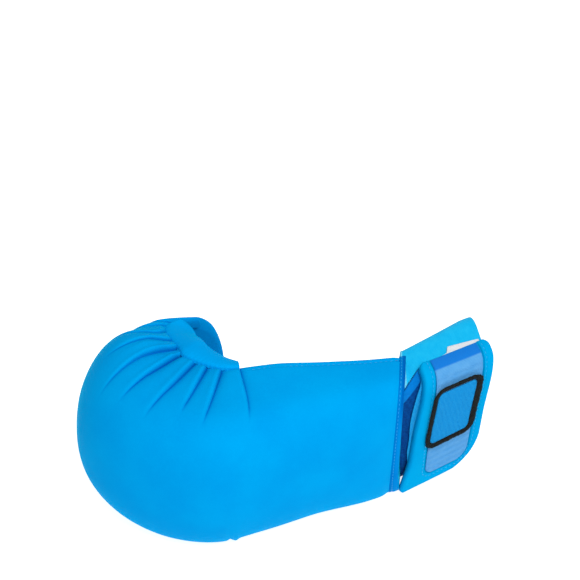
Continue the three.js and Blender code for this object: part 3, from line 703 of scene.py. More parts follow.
def ribbed(name, base, shade, light, pitch, axis=1, rough=0.5, before=None, piping=None):
    """Webbing with fine ribs, at a pitch in millimetres along the strap or across it. before is
    the colour of painted shade on the part before the strap's bend, which turns away from the light,
    and piping that of a painted highlight on the line along the hem."""
    g = Graph(name)
    surface = g.surface()
    split = g.node("ShaderNodeSeparateXYZ", {"Vector": surface})
    run, other = split.outputs[axis], split.outputs[1 - axis]
    wave = g.math("SINE", g.math("MULTIPLY", run, 2 * math.pi / pitch))
    yarn = g.math("SINE", g.math("MULTIPLY", other, 2 * math.pi / (0.45 * pitch)))
    weave = g.math("MULTIPLY", yarn, g.math("MULTIPLY", wave, 0.5))
    uneven = g.noise(surface, 0.2, 3.0)
    color = g.mix(g.range(wave, -1.0, 1.0), shade, base)
    color = g.mix(g.range(uneven, 0.35, 0.65, 0.0, 0.35), color, light)
    if before is not None:
        # painted shade on the part before the bend, where the strap turns away from the light
        share = g.range(split.outputs[1], STRAP_BEND - 4, STRAP_BEND - 3, 0.95, 0.0)
        color = g.mix(share, color, before)
    if piping is not None:
        # painted highlight along the piping beside the hem
        off = g.math("ABSOLUTE", g.math("SUBTRACT", split.outputs[2], 0.5 * PIPING))
        color = g.mix(g.range(off, 0.3 * PIPING, 0.6 * PIPING, 1.0, 0.0), color, piping)
    height = g.math("ADD", wave, g.math("MULTIPLY", weave, 0.6))
    normal = g.bump(height, 0.5, 0.09)
    return g.finish(color, g.range(uneven, 0.3, 0.7, rough - 0.05, rough + 0.08), normal,
                    Specular_IOR_Level=0.06, Sheen_Weight=0.03, Sheen_Roughness=0.4)


def thread(name, base, light):
    """Sewing thread: twisted, slightly glossy."""
    g = Graph(name)
    at = g.place()
    twist = g.node("ShaderNodeTexWave", {"Vector": at, "Scale": 1.6, "Distortion": 2.0},
                   wave_type="BANDS", bands_direction="DIAGONAL").outputs["Fac"]
    return g.finish(g.mix(twist, base, light), 0.5, g.bump(twist, 0.6, 0.05), Specular_IOR_Level=0.4)


MATERIALS = {
    # the fourth colour of shell and hem leather is that of their painted shade
    "shell": leather("shell leather", (0, 160, 232), (0, 152, 227), (0, 174, 240), (0, 82, 184)),
    "facing": leather("facing leather", (0, 164, 240), (0, 156, 234), (0, 176, 246)),
    "hem": leather("hem leather", (0, 140, 222), (0, 126, 212), (0, 156, 232), (0, 70, 164)),
    "strap": leather("strap leather", (0, 166, 228), (0, 156, 222), (20, 186, 238)),
    "lining": fabric("lining knit", (0, 156, 236), (0, 132, 216), (10, 170, 242), 0.6),
    # the loop fabric's dark navy colours are painted shade, for the cuff lying in the strap's shadow
    "cuff": fabric("loop fabric", (0, 70, 150), (0, 36, 96), (0, 100, 188), 0.9, 1.0,
                   bound=(0, 128, 218)),
    # the band's piping colour is a painted highlight
    "band": ribbed("elastic band", (14, 194, 248), (0, 178, 240), (40, 206, 252), 0.9, 1, 0.6,
                   piping=(110, 215, 248)),
    "backing": fabric("backing cloth", (0, 160, 232), (0, 134, 214), (60, 190, 240), 0.5, 0.5),
    # its before colour is painted shade
    "panel": ribbed("ribbed webbing", (92, 166, 226), (72, 152, 218), (108, 176, 230), 0.75,
                    before=(0, 118, 214)),
    "field": fabric("embroidered field", (8, 146, 220), (0, 122, 200), (44, 170, 234), 0.6),
    "frame": fabric("dark pile", (28, 28, 27), (12, 12, 12), (60, 58, 55), 0.5, 1.0, 0.9),
    "label": ribbed("woven tape", (238, 240, 243), (222, 226, 232), (250, 250, 252), 0.35, 0, 0.75),
    "thread": thread("sewing thread", (0, 140, 222), (30, 176, 240)),
    "light_thread": thread("light thread", (10, 166, 236), (40, 186, 243)),
}


def finish_piece(thing, material, slot, *nodes):
    thing.data.materials.clear()
    thing.data.materials.append(MATERIALS[material])
    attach(thing, "root")
    if nodes:
        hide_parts(*nodes)


# Shell

def pleat_lines(place, from_rim, spacing):
    """For each pleat: the distance past its crease, how far along it a point is, the depth of the
    crease and the height of its fold. spacing is the distance from one place to the next."""
    for row, _, _, deep, ridge, length in PLEATS:
        yield (place - row) * spacing, np.clip(from_rim / length, 0, 1), deep, ridge


def pleat_relief(place, from_rim, spacing):
    """Depth of the gathered pleats: a sharp crease with a rounded fold over one side of it."""
    depth = np.zeros(np.shape(place))
    for off, share, deep, ridge in pleat_lines(place, from_rim, spacing):
        fade = (1 - smooth(share)) ** 0.7 * smooth(from_rim / 2)
        sharp = blend(*CREASE_SHARP, share)
        gentle = blend(*CREASE_GENTLE, share)
        crease = np.where(off > 0, np.exp(-off / sharp), np.exp(off / gentle))
        fold = hill(off, 2.4 * sharp + 0.8, 1.8 * sharp + 0.8)
        depth += fade * (deep * crease - ridge * fold)
    return depth


def shell_relief(place, from_rim, spacing):
    """Pleats, the tuck along the gathered seam, and the stitched groove along the palm edge."""
    first, last = GATHER_ROWS
    gathered = smooth((place - first) / 0.4) * smooth((last - place) / 0.4)
    tuck = TUCK * gathered * np.exp(-np.maximum(from_rim, 0) / TUCK_WIDTH)
    groove = PALM_GROOVE * (1 - smooth((place - PALM_ROW) / 0.5)) * hill(from_rim, PALM_STITCH, 0.6)
    return pleat_relief(place, from_rim, spacing) + tuck + groove


def last_gather(places, side, across):
    """Depth of the fold and the crease that reach round to the back from the lower side."""
    depth = sum(deep * hill(places, LAST_GATHER + past, width) for past, width, deep in GATHER_LINES)
    return depth * hill(across, GATHER_ACROSS, GATHER_SPREAD) * (side < 0)


def shell_ring():
    """Columns of the shell's ring: outer skin from the upper rim to the lower, round the lower
    rim, and back inside. Each is (side, across, inward)."""
    wall = 2 - np.linspace(0, 1, 34)[:-1] ** 0.9
    upper = np.concatenate([wall, np.linspace(1, 0, 23)[:-1]])
    outer = [(1, a, 0.0) for a in upper] + [(1, 0.0, 0.0)] + [(-1, a, 0.0) for a in upper[::-1]]
    under = spans((2, 1, 8), (1, 0, 15))[:-1]
    inner = [(-1, a, 1.0) for a in under] + [(1, 0.0, 1.0)] + [(1, a, 1.0) for a in under[::-1]]
    return outer, inner


def shell_places():
    """Places along the shell's grid: closest together at the creases."""
    first, last = DENSE_ROWS
    fine = np.linspace(first, last, 4000)
    weight = 1 + 2.2 * sum(hill(fine, pleat[0], 0.07) for pleat in PLEATS)
    dense = np.interp(np.linspace(0, 1, 440), np.cumsum(weight) / weight.sum(), fine)
    dense[0] = first
    tip = blend(TIP_ROW, LAST_ROW, np.sin(np.linspace(0, math.pi / 2, TIP_STEPS)))
    return np.concatenate([spans((0, 0.36, 12), (0.36, first, 30))[:-1], dense[:-1],
                           np.linspace(last, TIP_ROW, 30)[:-1], tip])


def make_shell():
    outer, inner = shell_ring()
    places = shell_places()[:, None]
    squeeze = np.ones(places.shape)
    squeeze[-TIP_STEPS:, 0] = blend(0.3, 1.0, np.cos(np.linspace(0, math.pi / 2, TIP_STEPS)))
    side, across, inward = (np.array([c[k] for c in outer + inner], float)[None] for k in range(3))
    skin = inward < 0.5
    step = 0.01
    ahead, behind = (shell_point(places + move, side, across, inward) for move in (step, -step))
    spacing = np.linalg.norm(ahead - behind, axis=-1) / (2 * step)
    rolled = END_ROLL * (1 - smooth(places / END_ROLL_ROWS)) ** 2
    rolled = (rolled + last_gather(places, side, across)) * skin
    seen = []

    def relief(place, from_rim):
        seen.append(from_rim)
        return shell_relief(place, from_rim, spacing)
    points = shell_point(places, side, across, blend(0.5, inward, squeeze), rolled, relief)
    middle = shell_point(places, side, across, 0.5)
    rim = RIM_ROUND * np.clip((across - RIM_FROM) / (2 - RIM_FROM), 0, 1) ** 2
    points = blend(points, middle, (rim * np.where(skin, 1.0, 0.4))[..., None])
    columns = len(outer) + len(inner)
    faces = tube_faces(len(places), columns)
    chains = [[2 - side * across for side, across, _ in chain] for chain in (outer, inner[::-1])]
    faces += cap_faces(0, *chains, False)
    faces += cap_faces((len(places) - 1) * columns, *chains, True)
    # painted shade and painted highlight, for the leather to mix into its colour
    crease, ridge = shell_marks(places, across, skin, seen[0], spacing)
    thing = mesh_object("shell_skin", points.reshape(-1, 3), faces, crease=crease, ridge=ridge)
    finish_piece(thing, "shell", "shell_leather", "shell")


def shell_marks(place, across, skin, from_rim, spacing):
    """Painted shade and painted highlight of the shell: crease is painted shade in the creases and on
    the inner face, and ridge is painted highlight on the folds and along the rim's edge."""
    place, across, skin = np.broadcast_arrays(place, across, skin)
    crease, ridge = np.zeros(place.shape), np.zeros(place.shape)
    steep, gentle = CREASE_SHADE
    for off, gone, deep, _ in pleat_lines(place, np.maximum(from_rim, 0), spacing):
        # painted shade along each crease, and painted highlight on the fold beside it
        whole = (1 - smooth((gone - 0.75) / 0.25)) * min(1, deep / 3)
        crease = np.maximum(crease, whole * np.exp(-np.abs(off) / np.where(off > 0, steep, gentle)))
        painted_highlight = FOLD_HIGHLIGHT * smooth((gone - 0.2) / 0.3) * whole
        ridge = np.maximum(ridge, painted_highlight * hill(off, 1.7, 0.7))
    # painted highlight along the rim's edge, where the palm edge has no pleats
    plain = 1 - smooth((place - 3.6) / 0.4)
    ridge = np.maximum(ridge, plain * hill(from_rim, 0.0, 1.0))
    # painted shade on the inner face, and on the tip's inner side from TIP_SHADE_FROM on
    end = smooth((place - TIP_SHADE_FROM) / 0.05) * smooth((across - 0.9) / 0.06)
    inside = np.maximum(~skin, end)
    return np.maximum(crease * skin, INNER_SHADE * inside), ridge * (1 - inside)


def make_lining():
    places = np.linspace(0, LINING_END, 90)[:, None]
    upper = spans((2, 1, 14), (1, 0, 12))[:-1]
    across = np.concatenate([upper, [0], upper[::-1]])[None]
    side = np.concatenate([np.ones(len(upper) + 1), -np.ones(len(upper))])[None]
    outer, inner = (shell_point(places, side, across, 1.0, depth)
                    for depth in (LINING_GAP, LINING_GAP + LINING_THICKNESS))
    finish_piece(body("lining_knit", outer, inner), "lining", "lining_fabric", "lining")


def facing_point(u, side, share, level):
    """Points of the leaf-shaped facing. u runs along the rows of its table, share from the seam
    to its fold, and level is 1 on top and 0 underneath."""
    u, share, level = np.broadcast_arrays(np.asarray(u, float), share, level)
    rim = shell_point(curve(FACING_ROWS[:, 0], u), side, 2.0)
    away = np.stack([curve(FACING_ROWS[:, k], u) for k in (1, 2)], -1) - rim[..., :2]
    width = np.linalg.norm(away, axis=-1)
    point = rim.copy()
    point[..., :2] += unit(away) * blend(-FACING_OVERLAP, width, share)[..., None]
    rise = blend(FACING_RISE, FACING_TIP_RISE, smooth((u - 6) / 2))
    tucked = FACING_TUCK * np.exp(-share / FACING_EDGE)
    top = np.maximum(FACING_LOW, rim[..., 2] + side * (rise - tucked - FACING_DROP * share**2))
    point[..., 2] = np.maximum(0.2, top - side * FACING_THICKNESS * (1 - level))
    return point


def make_facing(side, name, node):
    end = len(FACING_ROWS) - 1
    shares = spans((0, FACING_EDGE, 5), (FACING_EDGE, 0.93, 16), (0.93, 1, 6))
    u, share = np.meshgrid(np.linspace(0, end, 170), shares, indexing="ij")
    crown = round_edge(np.minimum(share, 1 - share) / FACING_EDGE)
    pucker = PUCKER * wave(u, PUCKER_PITCH) * np.exp(-share / 0.12)
    swell = FACING_SWELL * np.sin(math.pi * share) * np.sin(math.pi * u / end)
    top = facing_point(u, side, share, 0.5 + 0.5 * crown)
    top[..., 2] += side * (pucker + swell)
    low = facing_point(u, side, share, 0.5 - 0.5 * crown)
    finish_piece(body(name, top, low), "facing", "facing_leather", node)


def make_hem():
    ring, _ = shell_ring()
    side, across, _ = np.array(ring).T
    skin = shell_point(0.0, side, across, 0.0, HEM_STEP)
    base_x = shell_point(0.0, side, across)[:, 0]
    z = skin[:, 2]
    widths = blend(HEM_WIDTH, HEM_UPPER_WIDTH, z / HEM_UPPER_Z) + HEM_FOOT * (1 - smooth(z / HEM_FOOT_Z))
    outward = unit((skin - [0, skin[:, 1].mean() + 18, LOOP_MIDDLE_Z]) * [0, 1, 1])
    share = np.concatenate([[0], np.linspace(0.04, 0.95, 24), [1]])[:, None]
    distance = blend(HEM_START, widths, share)
    skin = np.stack([base_x + distance, *(np.broadcast_to(skin[:, k], distance.shape) for k in (1, 2))], -1)
    roll = HEM_ROLL * (np.sqrt(np.maximum(0, np.sin(math.pi * share))) - 1)
    groove = HEM_GROOVE_DEPTH * hill(share, HEM_GROOVE, 0.06)
    outer = skin + outward * (roll - groove + 0.2)[..., None]
    outer[..., 2] = np.maximum(outer[..., 2], 0.4)
    degrees = loop_degrees(skin)
    inner = loop_point(loop_start(degrees, HEM_CLEARANCE, distance), degrees, HEM_CLEARANCE)
    # Painted shade, passed on as the crease value: under the shell's rolled end, and on the upper part
    # towards the cuff
    dark_z, dark_over = HEM_DARK_Z
    dark = 0.75 * smooth((share - HEM_DARK_FROM) / 0.2) * smooth((z - dark_z) / dark_over)
    shade = np.maximum(0.8 * np.exp(-share / HEM_SHADE), dark)
    thing = body("wrist_hem_band", outer, inner, crease=shade, ridge=0 * shade)
    finish_piece(thing, "hem", "hem_leather", "wrist_hem")
    sewn = outer[np.abs(share - HEM_GROOVE).argmin()]
    finish_piece(stitches("wrist_hem_stitches", sewn, outward, *HEM_STITCHES), "thread", "hem_leather")


def make_palm_stitches(side, name):
    places = np.linspace(0.05, 3.75, 400)
    *_, reach, turn = section(places)
    across = 2 - PALM_STITCH / (reach - turn)

    def relief(place, from_rim):
        return shell_relief(place, from_rim, 20.0)
    line = shell_point(places, side, across, 0, 0, relief)
    normal = np.zeros((len(places), 3))
    normal[:, 2] = side
    finish_piece(stitches(name, line, normal, *PALM_STITCHES), "thread", "shell_leather")


# Wrist loop

def upper_seam(t):
    """Degrees round the loop of the seam between the back cuff and the palm band, along it."""
    return blend(SEAM_LOW, SEAM_HIGH, np.clip((t - SEAM_FROM) / (SEAM_TO - SEAM_FROM), 0, 1))


def cuff_grid(start_degrees, end_degrees, end, height):
    """Grid of a part of the cuff. The two angles and end are functions, of the length along the
    loop and of the degrees round it."""
    f, share = (np.linspace(0, 1, count) for count in CUFF_GRID)
    t = np.zeros(CUFF_GRID)
    for _ in range(3):
        degrees = blend(start_degrees(t), end_degrees(t), f[:, None])
        t = blend(loop_start(degrees, height, GAP), end(degrees), share)
    return loop_point(t, degrees, height), t, degrees


def cuff_walls(*edges):
    """Outer and inner grid of a part of the cuff, directions outwards, and its t and degrees."""
    outer, t, degrees = cuff_grid(*edges, 0.0)
    inner = cuff_grid(*edges, -CUFF_THICKNESS)[0]
    return outer, inner, unit(outer - inner), t, degrees


def make_cuff():
    def end(degrees):
        return blend(CUFF_LOWER_END, CUFF_END, np.maximum(0, degrees) / UPPER_SEAM)
    outer, inner, out, t, degrees = cuff_walls(upper_seam, lambda t: LOWER_SEAM + 0 * t, end)
    fuzz = CUFF_FUZZ * RANDOM.standard_normal(outer.shape[:2])
    fuzz[:, 0] = fuzz[:, -1] = 0
    from_seam = upper_seam(t) - degrees
    bound = smooth((BINDING_WIDTH - from_seam) / 1.5)
    outer = outer + out * (np.minimum(fuzz, 0.2) * (1 - bound) + 0.3 * bound)[..., None]
    surface = np.stack([t, degrees, from_seam], -1)
    thing = body("cuff_loop_fabric", outer, inner, surface=surface)
    finish_piece(thing, "cuff", "cuff_fabric", "cuff_back")


def make_band():
    last = 360 + LOWER_SEAM - SEAM_GAP

    def end(degrees):
        bulge = np.maximum(0, 1 - ((degrees - BULGE_AT) / BULGE_SPREAD) ** 2) ** 2
        turned = np.maximum(0, degrees - LOWER_TURN) / (last - LOWER_TURN)
        return blend(BAND_END, CUFF_LOWER_END, turned) + BAND_BULGE * bulge
    outer, inner, out, t, degrees = cuff_walls(lambda t: upper_seam(t) + SEAM_GAP,
                                               lambda t: last + 0 * t, end)
    ribs = 0.05 * wave(t, 1.8)
    fold = 0.35 * round_edge((end(degrees) - t) / 5) - 0.35
    turn_from, turn_over = PIPING_TURN
    beside = 1 - smooth((degrees - turn_from) / turn_over)
    from_hem = t - t[:, :1] - (HEM_UPPER_WIDTH + PIPING_SHIFT) * beside
    piping = 0.5 * np.exp(-((from_hem - PIPING / 2) / (0.5 * PIPING)) ** 4)
    outer = outer + out * (ribs + fold + piping)[..., None]
    surface = np.stack([t, np.radians(degrees) * LOOP_HALF_WIDTH, from_hem], -1)
    thing = body("palm_band_elastic", outer, inner, surface=surface)
    finish_piece(thing, "band", "band_elastic", "palm_band")


# Strap

def strap_body(name, t, length, top, bottom):
    surface = np.stack([t, length, 0 * t], -1)
    outer, inner = (strap_point(t, length, height) for height in (top, bottom))
    return body(name, outer, inner, surface=surface)


def strap_sheet(name, left, right, start, end, low, high, grid,
                start_corner=(0, 0), end_corner=(0, 0), relief=None, edge=0.25, shift=None):
    """Sheet that follows the strap, with rounded edges. relief(t, length) adds to its height, and
    shift(length) moves its left side towards the right."""
    steps, columns = (np.linspace(0, 1, count) for count in grid)
    lengths = blend(start, end, blend(eased(steps), steps, 0.5))[:, None]
    inset = [corner_inset(lengths - start, a) + corner_inset(end - lengths, b)
             for a, b in zip(start_corner, end_corner)]
    first, last = left + inset[0], right - inset[1]
    if shift is not None:
        first = first + shift(lengths)
    t = blend(first, last, blend(eased(columns), columns, 0.6))
    length = np.broadcast_to(lengths, t.shape)
    to_edge = np.minimum(np.minimum(t - first, last - t), np.minimum(length - start, end - length))
    rounded = round_edge(to_edge / edge)
    side = low + 0.4 * (high - low)
    top = blend(side, high, rounded)
    if relief is not None:
        top = top + relief(t, length) * rounded
    return strap_body(name, t, length, top, blend(side, low, rounded))


def strap_sides(length):
    """The strap's two sides at a length, with its round corners."""
    start = corner_inset(length, START_CORNER)
    flare = STRAP_FLARE * smooth((length - FLARE_FROM) / (STRAP_LENGTH - FLARE_FROM))
    left = STRAP_LEFT - flare + start + corner_inset(STRAP_LENGTH - length, HAND_CORNER)
    return left, STRAP_RIGHT - start - corner_inset(STRAP_LENGTH - length, ARM_CORNER)


def panel_left(length):
    return PANEL_LEFT + BORDER_SLANT * np.maximum(0, length - STRAP_BEND)


def from_recess(t, length):
    """Distance out of the recess, which is open at the sewn end and has round corners at the other."""
    _, right = strap_sides(length)
    left_off = panel_left(length) - t
    right_off = t - np.minimum(PANEL_RIGHT, right - BORDER_LEAST)
    radius = np.where(left_off > right_off, PANEL_HAND_CORNER, PANEL_ARM_CORNER)
    off = np.maximum(left_off, right_off) + radius
    down = length - (STRAP_LENGTH - BORDER_END) + radius
    return (np.hypot(np.maximum(off, 0), np.maximum(down, 0))
            + np.minimum(np.maximum(off, down), 0) - radius)


def strap_profile(t, length):
    """Height of the strap's skin above its base: a padded border, rolled at its outer edge, that
    steps down into the recess, with a sewn channel near the recess."""
    first, last = strap_sides(length)
    outside = np.minimum.reduce([t - first, last - t, length, STRAP_LENGTH - length])
    recess = from_recess(t, length)
    step = smooth((recess + 0.1) / 0.8)
    rolled = round_edge(outside / STRAP_ROLL)
    channel = 0.32 * hill(recess, STITCH_INSET, 0.35)
    swell = 0.35 * np.sin(math.pi * np.clip((recess - 2.2) / np.maximum(recess + outside - 2.4, 1), 0, 1))
    rim = (STRAP_RIM - STRAP_BASE) * rolled
    return STRAP_BASE + (rim - channel + swell) * step - (1 - rolled) * 0.9


def make_strap():
    """The bound border round the recess, as one sheet."""
    roll = STRAP_ROLL * (1 - np.cos(np.linspace(0, math.pi / 2, 7)))
    width = STRAP_RIGHT - STRAP_LEFT
    tip = STRAP_LENGTH - BORDER_END - 9
    lengths = spans((STRAP_ROLL, tip, 170), (tip, STRAP_LENGTH - STRAP_ROLL, 60))[:-1]
    lengths = np.concatenate([roll[:-1], lengths, STRAP_LENGTH - roll[::-1]])[:, None]
    left_part, right_part = (
        np.concatenate([roll[:-1], spans((STRAP_ROLL, step, count), (step, step + 3.2, 16))])
        for step, count in ((BORDER_LEFT - 2.8, 8), (BORDER_RIGHT - 2.8, 6)))
    middle = np.linspace(left_part[-1], width - right_part[-1], 40)[1:-1]
    across = np.concatenate([left_part, middle, (width - right_part)[::-1]])
    left, right = strap_sides(lengths)
    t = left + across * (right - left) / width
    length = np.broadcast_to(lengths, t.shape)
    top = STRAP_LOW + strap_profile(t, length)
    thing = strap_body("strap_border", t, length, top, np.full(t.shape, STRAP_LOW))
    finish_piece(thing, "strap", "strap_leather", "strap")


def strap_line(points):
    """A line on the strap's skin, with its outward directions, from (t, length) pairs."""
    gone = gone_along(points)
    at = np.linspace(0, gone[-1], int(gone[-1] * 4))
    t, length = np.interp(at, gone, points[:, 0]), np.interp(at, gone, points[:, 1])
    height = STRAP_LOW + strap_profile(t, length)
    line = strap_point(t, length, height)
    return line, strap_point(t, length, height + 1) - line


def make_strap_stitches():
    """One row of stitches round the recess, from the sewn end down, across and up again."""
    end = STRAP_LENGTH - BORDER_END
    low = end + STITCH_INSET
    turn = np.linspace(0, math.pi / 2, 12)
    hand, arm = (r + STITCH_INSET for r in (PANEL_HAND_CORNER, PANEL_ARM_CORNER))
    left, low_left = (panel_left(v) - STITCH_INSET for v in (0.0, end))
    right = min(PANEL_RIGHT, strap_sides(end)[1] - BORDER_LEAST) + STITCH_INSET
    upper_right = PANEL_RIGHT + STITCH_INSET
    down = [(left, 1.5), (left, STRAP_BEND), (low_left, low - hand)]
    hand_arc = [(low_left + hand * (1 - math.cos(a)), low - hand * (1 - math.sin(a))) for a in turn]
    arm_arc = [(right - arm * (1 - math.sin(a)), low - arm * (1 - math.cos(a))) for a in turn]
    up = [(upper_right, low - arm - 4), (upper_right, 1.5)]
    line, normal = strap_line(np.array(down + hand_arc + arm_arc + up))
    finish_piece(stitches("strap_stitches", line, normal, *STRAP_STITCHES), "light_thread", "strap_leather")


def make_panel():
    def ribs(_, length):
        return 0.1 * wave(length, 0.9) * smooth((length - STRAP_BEND) / 3)
    thing = strap_sheet("strap_webbing", PANEL_LEFT + 2 * GAP, PANEL_RIGHT - 2 * GAP,
                        PANEL_FROM, STRAP_LENGTH - BORDER_END - 2 * GAP, PANEL_LOW, PANEL_HIGH,
                        (440, 30), end_corner=(PANEL_HAND_CORNER, PANEL_ARM_CORNER), relief=ribs,
                        shift=lambda length: panel_left(length) - PANEL_LEFT)
    finish_piece(thing, "panel", "panel_fabric", "strap_panel")


def backing_shift(length):
    off = (length - BULGE_MIDDLE) / BULGE_HALF
    start, end = (smooth((length - first) / over) for first, over in (SHOWN_FROM, SHOWN_TO))
    return -BACKING_BULGE * np.maximum(0, 1 - off**2) ** 2 - BACKING_SHOWN * start * (1 - end)


def make_backing():
    thing = strap_sheet("strap_backing_cloth", STRAP_LEFT + BACKING_INSET, STRAP_RIGHT - BACKING_INSET,
                        BACKING_INSET, STRAP_LENGTH - BACKING_SHORT, BACKING_LOW,
                        BACKING_LOW + BACKING_THICKNESS, (120, 40), start_corner=(START_CORNER,) * 2,
                        end_corner=(HAND_CORNER, ARM_CORNER), edge=0.6, shift=backing_shift)
    finish_piece(thing, "backing", "backing_fabric", "strap_backing")


def patch_outline(inset):
    """Rounded rectangle on the strap, as (t, length) pairs, evenly close together."""
    half = np.array([PATCH_WIDTH, PATCH_LENGTH]) / 2 - inset
    centre = np.array([PATCH_CENTRE, PATCH_FROM + PATCH_LENGTH / 2])
    radius = max(1.0, PATCH_CORNER - inset)
    corner_steps, side_steps = PATCH_STEPS
    arcs = []
    for first, signs in ((0, (1, 1)), (90, (-1, 1)), (180, (-1, -1)), (270, (1, -1))):
        angle = np.radians(np.linspace(first, first + 90, corner_steps + 1))
        turned = np.stack([np.cos(angle), np.sin(angle)], -1)
        arcs.append(centre + signs * (half - radius) + radius * turned)
    share = np.linspace(0, 1, side_steps + 1)[1:-1, None]
    parts = []
    for arc, after in zip(arcs, arcs[1:] + arcs[:1]):
        parts += [arc, blend(arc[-1], after[0], share)]
    return np.concatenate(parts)


def make_patch_frame():
    """Thick sewn border of the patch: a rounded bar of uneven width and height."""
    sides = 14
    outward = patch_outline(0) - patch_outline(1)
    uneven = np.cumsum(RANDOM.standard_normal(len(outward)))
    uneven -= np.linspace(uneven[0], uneven[-1], len(uneven))
    arm_side = smooth(outward[:, 0] * 2 - 1)
    uneven = FRAME_UNEVEN * (np.sin(1.3 * uneven) - FRAME_THIN + FRAME_ARM * arm_side)
    rings = []
    for angle in np.linspace(0, 2 * math.pi, sides, endpoint=False):
        inset = FRAME_BAR / 2 * (1 - math.cos(angle))
        line = patch_outline(inset) + outward * (uneven * math.cos(angle))[:, None]
        height = PATCH_LOW + FRAME_HEIGHT / 2 * (1 + math.sin(angle))
        threads = 0.1 * RANDOM.standard_normal(len(line)) * (0.4 + 0.6 * max(0, math.sin(angle)))
        rings.append(strap_point(line[:, 0], line[:, 1], np.maximum(PATCH_LOW, height + threads)))
    points = np.array(rings).transpose(1, 0, 2).reshape(-1, 3)
    thing = mesh_object("patch_border", points, tube_faces(len(outward), sides, closed_rows=True))
    finish_piece(thing, "frame", "patch_frame", "patch_frame")


def make_patch_pile():
    """Short loose fibres on the border: slim tetrahedra."""
    outline = patch_outline(0)
    inner = patch_outline(FRAME_BAR)
    pick = RANDOM.integers(0, len(outline), PILE_COUNT)
    share = RANDOM.uniform(0.15, 0.85, PILE_COUNT)
    base = blend(outline[pick], inner[pick], share[:, None])
    height = PATCH_LOW + FRAME_HEIGHT * (0.5 + 0.5 * np.sqrt(1 - (2 * share - 1) ** 2)) - 0.15
    lean = RANDOM.uniform(-0.55, 0.55, (PILE_COUNT, 2))
    tip = base + lean
    tip_height = height + RANDOM.uniform(0.2, 0.5, PILE_COUNT)
    root, tip = (strap_point(*at.T, high) for at, high in ((base, height), (tip, tip_height)))
    side = PILE_RADIUS * unit(np.cross(tip - root, RANDOM.standard_normal((PILE_COUNT, 3))))
    other = PILE_RADIUS * unit(np.cross(tip - root, side))
    points = np.stack([root + side, root - 0.5 * side + 0.87 * other,
                       root - 0.5 * side - 0.87 * other, tip], 1)
    corners = np.array([(0, 2, 1), (0, 1, 3), (1, 2, 3), (2, 0, 3)])
    faces = (4 * np.arange(PILE_COUNT)[:, None, None] + corners).reshape(-1, 3).tolist()
    finish_piece(mesh_object("patch_border_pile", points.reshape(-1, 3), faces), "frame", "patch_frame")


def make_patch_field():
    inset = FRAME_BAR + 2 * GAP
    wider = inset - FIELD_WIDER
    corners = (PATCH_CORNER - inset,) * 2

    def weave(t, length):
        return 0.05 * wave(t, 1.1) * wave(length, 1.1)
    thing = strap_sheet("patch_field_cloth", PATCH_CENTRE - PATCH_WIDTH / 2 + wider,
                        PATCH_CENTRE + PATCH_WIDTH / 2 - inset, PATCH_FROM + wider,
                        PATCH_FROM + PATCH_LENGTH - wider, PATCH_LOW, PATCH_LOW + FIELD_HEIGHT,
                        (120, 100), start_corner=corners, end_corner=corners, relief=weave)
    finish_piece(thing, "field", "patch_field", "patch_field")


def make_label():
    rows = np.linspace(0, len(LABEL_ROWS) - 1, 60)
    t, edge = (np.interp(rows, np.arange(len(LABEL_ROWS)), column)[:, None] for column in LABEL_ROWS.T)
    across = np.linspace(0, 1, 16)
    degrees = blend(LABEL_FROM, edge, across)
    t = np.broadcast_to(t, degrees.shape)
    height = GAP + 0.2 * np.sin(math.pi * rows / rows[-1])[:, None] * across
    outer, inner = (loop_point(t, degrees, height + more) for more in (LABEL_THICKNESS, 0))
    surface = np.stack([t, np.radians(degrees) * LOOP_HALF_WIDTH, 0 * t], -1)
    thing = body("care_label_tape", outer, inner, surface=surface)
    finish_piece(thing, "label", "label_fabric", "care_label")


# Stage, light and camera

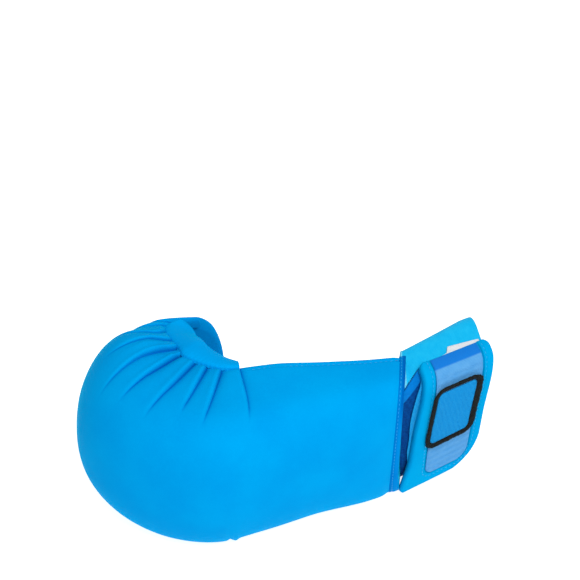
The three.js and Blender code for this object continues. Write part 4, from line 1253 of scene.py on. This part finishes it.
def make_floor():
    mesh = bpy.data.meshes.new("floor")
    corners = [(x * FLOOR_REACH, y * FLOOR_REACH, 0) for x, y in ((-1, -1), (1, -1), (1, 1), (-1, 1))]
    mesh.from_pydata(corners, [], [(0, 1, 2, 3)])
    floor = add_object("floor", mesh)
    g = Graph("pale paper")
    speck = g.noise(g.place(), 0.4, 2.0)
    color = g.range(speck, 0.3, 0.7, *FLOOR_TONES)
    mesh.materials.append(g.finish(color, 0.9, Specular_IOR_Level=0.05, Emission_Color=WHITE,
                                   Emission_Strength=FLOOR_GLOW))
    floor.location.z = -FLOOR_DROP


def make_light():
    world = bpy.data.worlds.new("studio")
    world.use_nodes = True
    background = world.node_tree.nodes["Background"]
    background.inputs["Color"].default_value = WHITE
    background.inputs["Strength"].default_value = WORLD_LIGHT
    bpy.context.scene.world = world
    for name, place, size, power in LIGHTS:
        light = bpy.data.lights.new(name, "AREA")
        light.shape = "RECTANGLE"
        light.size, light.size_y = size
        light.energy = power
        thing = add_object(name, light)
        thing.location = place
        direction = Vector(LIGHT_TARGET) - Vector(place)
        thing.rotation_euler = direction.to_track_quat("-Z", "Y").to_euler()
    bpy.context.scene.view_settings.view_transform = "Standard"


def make_camera():
    yaw, up, roll = (math.radians(v) for v in (CAMERA_YAW, CAMERA_ELEVATION, CAMERA_ROLL))
    ahead = np.array([math.sin(yaw) * math.cos(up), math.cos(yaw) * math.cos(up), -math.sin(up)])
    right = np.array([math.cos(yaw), -math.sin(yaw), 0])
    above = np.cross(right, ahead)
    right, above = (math.cos(roll) * right + math.sin(roll) * above,
                    math.cos(roll) * above - math.sin(roll) * right)
    look = unit(CAMERA_DISTANCE * ahead + CAMERA_LOWER * PIXEL * above)
    data = bpy.data.cameras.new("camera")
    data.sensor_width = SENSOR
    data.lens = SENSOR * CAMERA_DISTANCE / PIXEL / PICTURE
    data.clip_start, data.clip_end = 0.1, 20.0
    camera = add_object("camera", data)
    turned = Matrix((right, np.cross(right, look), -look)).transposed().to_4x4()
    turned.translation = Vector((CAMERA_TARGET - CAMERA_DISTANCE * ahead) * MM)
    camera.matrix_world = turned
    bpy.context.scene.camera = camera


make_camera()
make_light()
make_floor()
make_shell()
make_lining()
make_facing(1, "facing_upper", "rim_facing_upper")
make_facing(-1, "facing_lower", "rim_facing_lower")
make_palm_stitches(1, "palm_edge_stitches")
make_palm_stitches(-1, "lower_edge_stitches")
make_hem()
make_cuff()
make_band()
make_backing()
make_strap()
make_strap_stitches()
make_panel()
make_patch_frame()
make_patch_pile()
make_patch_field()
make_label()
